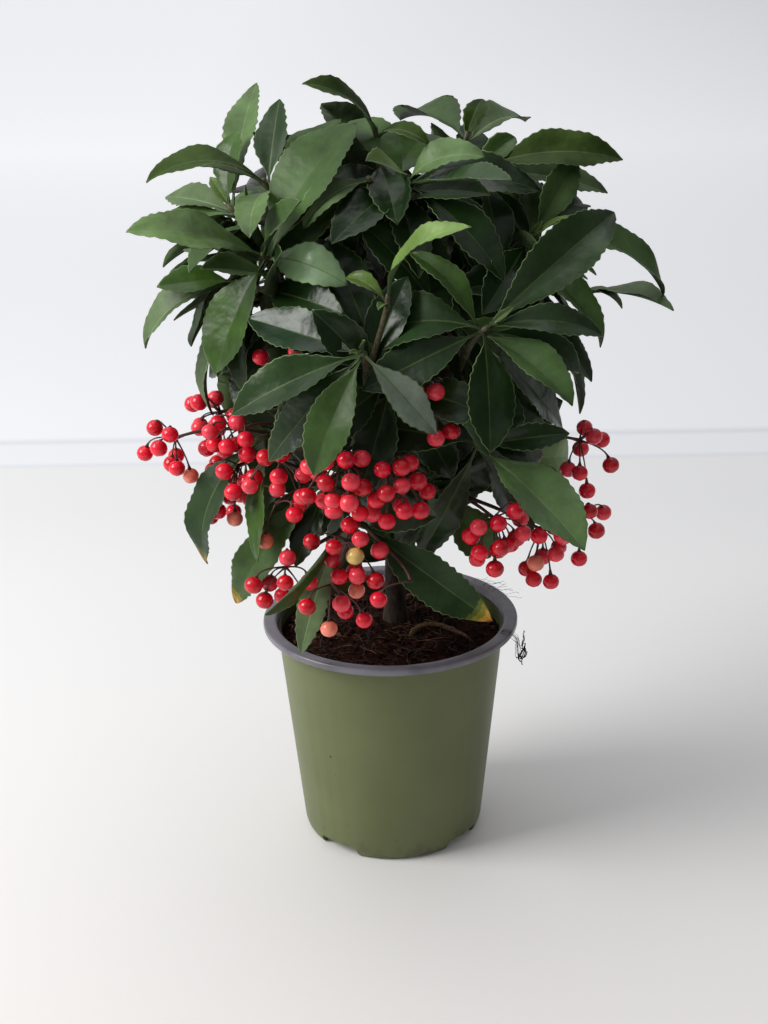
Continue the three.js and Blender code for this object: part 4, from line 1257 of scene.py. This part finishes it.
# The strips of a leaf are numbered over its top, from one margin to the other, and back under it.
MIDRIB = 3
MARGINS = (0, 6)
FIRST_UNDER = 7


def leaf_stations(leaf):
    """The shares of a leaf's length at which it has a section, two to a tooth and more at an old tip."""
    teeth = max(5, round(leaf["length"] / TOOTH_LENGTH))
    t = np.concatenate([[-2 / leaf["length"], 0.03, 0.065], np.linspace(LEAF_STALK, 1, 2 * teeth + 1)])
    if "tipped" in leaf["tone"]:
        t = np.concatenate([t[t < TIP_START - 0.01], np.linspace(TIP_START, 1, 18)])
    return t


def leaf_faces(leaf, along, columns):
    """The faces between a leaf's sections and over its two ends, and the finish of each."""
    rib = "pale_rib" if leaf["tone"] in PALE_TONES else "rib"
    tip = TIP_TONES.items() if "tipped" in leaf["tone"] else ()
    faces, kinds = [], []
    for k in range(len(along) - 1):
        for c in range(columns):
            d = (c + 1) % columns
            faces.append((k * columns + c, k * columns + d, (k + 1) * columns + d, (k + 1) * columns + c))
            if c >= FIRST_UNDER:
                kind = "under"
            elif along[k + 1] <= 0.02 or c == MIDRIB:
                kind = rib
            else:
                kind = "margin" if c in MARGINS else leaf["tone"]
            for tip_kind, begins in tip:
                if along[k] + 0.011 * abs(c - MIDRIB) > begins:
                    kind = tip_kind
            kinds.append(FINISH_OF[kind])
    faces.append(tuple(reversed(range(columns))))
    faces.append(tuple((len(along) - 1) * columns + c for c in range(columns)))
    kinds += [FINISH_OF["under"], kinds[-3]]
    return faces, kinds


def leaf_skin(leaf):
    """One leaf's points, leaf coordinates, faces and finishes. It has a midrib, two halves and a margin."""
    length, width = leaf["length"], leaf["width"]
    play = random.Random(round(1000 * length))
    t = leaf_stations(leaf)
    along = np.clip((t - LEAF_STALK) / (1 - LEAF_STALK), 0, 1)
    is_odd = np.arange(len(t)) % 2
    is_old_tip = (t > TIP_START) & ("tipped" in leaf["tone"])
    half = 0.5 * width * np.sin(np.pi * along ** 1.12) ** mix(1.05, 0.8, along)
    half = np.maximum(half, mix(0.75, 0.3, along))
    tooth = np.where(is_odd, 0.5, -0.5) * np.minimum(1, half / 7) * (half > 1.2)
    tooth = tooth * np.array([play.uniform(0.4, 1.4) for _ in t]) * np.where(is_old_tip, 0.3, 1)
    edge = half + tooth
    margin = np.minimum(play.uniform(0.35, 0.6), 0.3 * half)
    rib = np.minimum(mix(0.6, 0.18, along), 0.3 * half)
    # Each row runs along the leaf. It has its distance from the midrib, its share of the fold and its lift.
    rows = []
    for sign in (-1, 1):
        row = [(edge, 1, -0.25), (edge - margin, 0.93, 0), (half * 0.5, 0.55, 0.03), (rib, 0.0, 0)]
        rows += [(sign * out, rise, lift) for out, rise, lift in (row if sign < 0 else row[::-1])]
    rows.append((np.zeros(len(t)), 0, -1))
    thick = np.where(along > 0, mix(1.2, 0.6, along), 1.5)
    waves = [play.uniform(0, 6.28), play.uniform(0, 6.28)]
    swell = play.uniform(0.6, 1.6)
    twist = math.radians(play.uniform(-14, 14) * (0.4 if leaf["told"] else 1)) * t
    normal, line = leaf_line(leaf, leaf["bend"] * t)
    side = np.cos(twist)[:, None] * leaf["side"] + np.sin(twist)[:, None] * normal
    normal = np.cos(twist)[:, None] * normal - np.sin(twist)[:, None] * leaf["side"]
    points, places = [], []
    flat = np.minimum(1, half / 12)
    for out, rise, lift in rows:
        wave = waves[0] if out[-1] < 0 else waves[1]
        height = half * math.sin(leaf["fold"]) * rise
        if rise > 0:
            phase = wave + 2 * np.pi * along * length / WAVE_LENGTH
            height = height + swell * rise ** 1.5 * flat * np.sin(phase)
        if lift < 0:
            height = height + (lift * thick if rise == 0 else lift * flat)
        if lift > 0:
            height = height + lift * flat * np.where(is_odd, 1, -1)
        points.append(line + (out * math.cos(leaf["fold"]))[:, None] * side + height[:, None] * normal)
        places.append(np.stack([out / (0.5 * width), t * length / VEIN_SPACING], axis=1))
    points, places = np.stack(points, axis=1), np.stack(places, axis=1)
    return points.reshape(-1, 3), places.reshape(-1, 2), *leaf_faces(leaf, along, len(rows))


def leaf_piece(name, group):
    """Joins a group of leaves into one piece, with each leaf's own coordinates for its veins."""
    points, places, faces, kinds, count = [], [], [], [], 0
    for leaf in group:
        more_points, more_places, more_faces, more_kinds = leaf_skin(leaf)
        points.append(more_points)
        places.append(more_places)
        faces.extend(tuple(count + i for i in face) for face in more_faces)
        kinds.extend(more_kinds)
        count += len(more_points)
    piece = skin_piece(name, np.concatenate(points) * MM, faces, leaf_finishes, kinds)
    corners = np.zeros(len(piece.data.loops), dtype=np.int32)
    piece.data.loops.foreach_get("vertex_index", corners)
    layer = piece.data.uv_layers.new(name="leaf")
    layer.data.foreach_set("uv", np.concatenate(places)[corners].ravel())
    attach(piece, "root")


leaf_piece("foliage_leaves", [leaf for leaf in leaves if not leaf["fruiting"]])
leaf_piece("lower_leaves", [leaf for leaf in leaves if leaf["fruiting"]])


# The berries. Round and glossy red with a small dark point, each on a thin stalk that arches from a knob at
# the twig's tip. A few are salmon or still pale.
BERRY_RADII = (4.3, 4.75)
STALK_RADII = (0.75, 0.5, 0.42, 0.4, 0.4, 0.42, 0.55, 1.15)
berry_finishes = []
for name, colour in (("berry_red", (0.82, 0.011, 0.036)), ("berry_deep_red", (0.6, 0.007, 0.02)),
                     ("berry_scarlet", (0.88, 0.045, 0.075)), ("berry_salmon", (0.88, 0.24, 0.16)),
                     ("berry_pale", (0.75, 0.52, 0.17))):
    finish = Finish(name, colour, 0.2)
    low, high = tuple(c * 0.75 for c in colour), tuple(c * 1.2 for c in colour)
    finish.mottle(finish.noise(160), 0.3, 0.7, low, high)
    finish.set("Subsurface Weight", 0.06)
    finish.set("Subsurface Radius", (0.003, 0.0008, 0.0004))
    finish.set("Subsurface Scale", 1)
    berry_finishes.append(finish)
berry_finishes.append(Finish("berry_point", (0.03, 0.012, 0.01), 0.5))
POINT = len(berry_finishes) - 1
# How often each finish but the point's is picked: for ripe berries, and for late ones low on the left.
RIPE = (48, 20, 29, 3, 0)
LATE = (30, 14, 28, 24, 4)
LATE_BELOW = 204
LATE_LEFT_OF = -14

# The ball of a berry is a little flat, and its top ring is drawn in to a small point.
start_fresh()
bpy.ops.mesh.primitive_uv_sphere_add(segments=14, ring_count=9, radius=1, location=(0, 0, 0))
model = bpy.context.object
spots = np.zeros(len(model.data.vertices) * 3)
model.data.vertices.foreach_get("co", spots)
spots = spots.reshape(-1, 3)
near_tip = (spots[:, 2] > 0.9) & (spots[:, 2] < 0.99)
spots[near_tip] *= (0.42, 0.42, 1.045)
spots[spots[:, 2] < -0.9] *= (1, 1, 0.985)
spots[:, 2] *= 0.95
berry_faces = [tuple(face.vertices) for face in model.data.polygons]
berry_tips = [all(spots[i][2] > 0.88 for i in face) for face in berry_faces]
bpy.data.objects.remove(model)

ripeness = random.Random(8)
points, faces, kinds, count = [], [], [], 0
stalk_points, stalk_faces = [], []
for knob, start, length, berry in berries:
    radius = ripeness.uniform(*BERRY_RADII)
    bow = knob + start * length * 0.8 + UP * ripeness.uniform(0, 2.5)
    neck = berry + unit(bow - berry) * radius * 0.9
    steps = np.linspace(0, 1, len(STALK_RADII))[:, None]
    line = (1 - steps) ** 2 * knob + 2 * steps * (1 - steps) * bow + steps ** 2 * neck
    add_tube(stalk_points, stalk_faces, line, STALK_RADII, 6)
    way = unit(berry - bow)
    side = unit(np.cross(way, (0.3, 0.5, 0.8)))
    frame_of = np.stack([side, np.cross(way, side), way])
    points.append(berry + (spots * radius) @ frame_of)
    faces.extend(tuple(count + i for i in face) for face in berry_faces)
    is_late = berry[2] < LATE_BELOW and berry[0] < LATE_LEFT_OF
    tint = ripeness.choices(range(POINT), LATE if is_late else RIPE)[0]
    kinds.extend(POINT if is_tip else tint for is_tip in berry_tips)
    count += len(spots)
berry_mesh = skin_piece("berries", np.concatenate(points) * MM, faces, berry_finishes, kinds)
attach(berry_mesh, "root")
stalks = skin_piece("berry_stalks", np.array(stalk_points) * MM, stalk_faces, [fruit_stalk])
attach(stalks, "root")
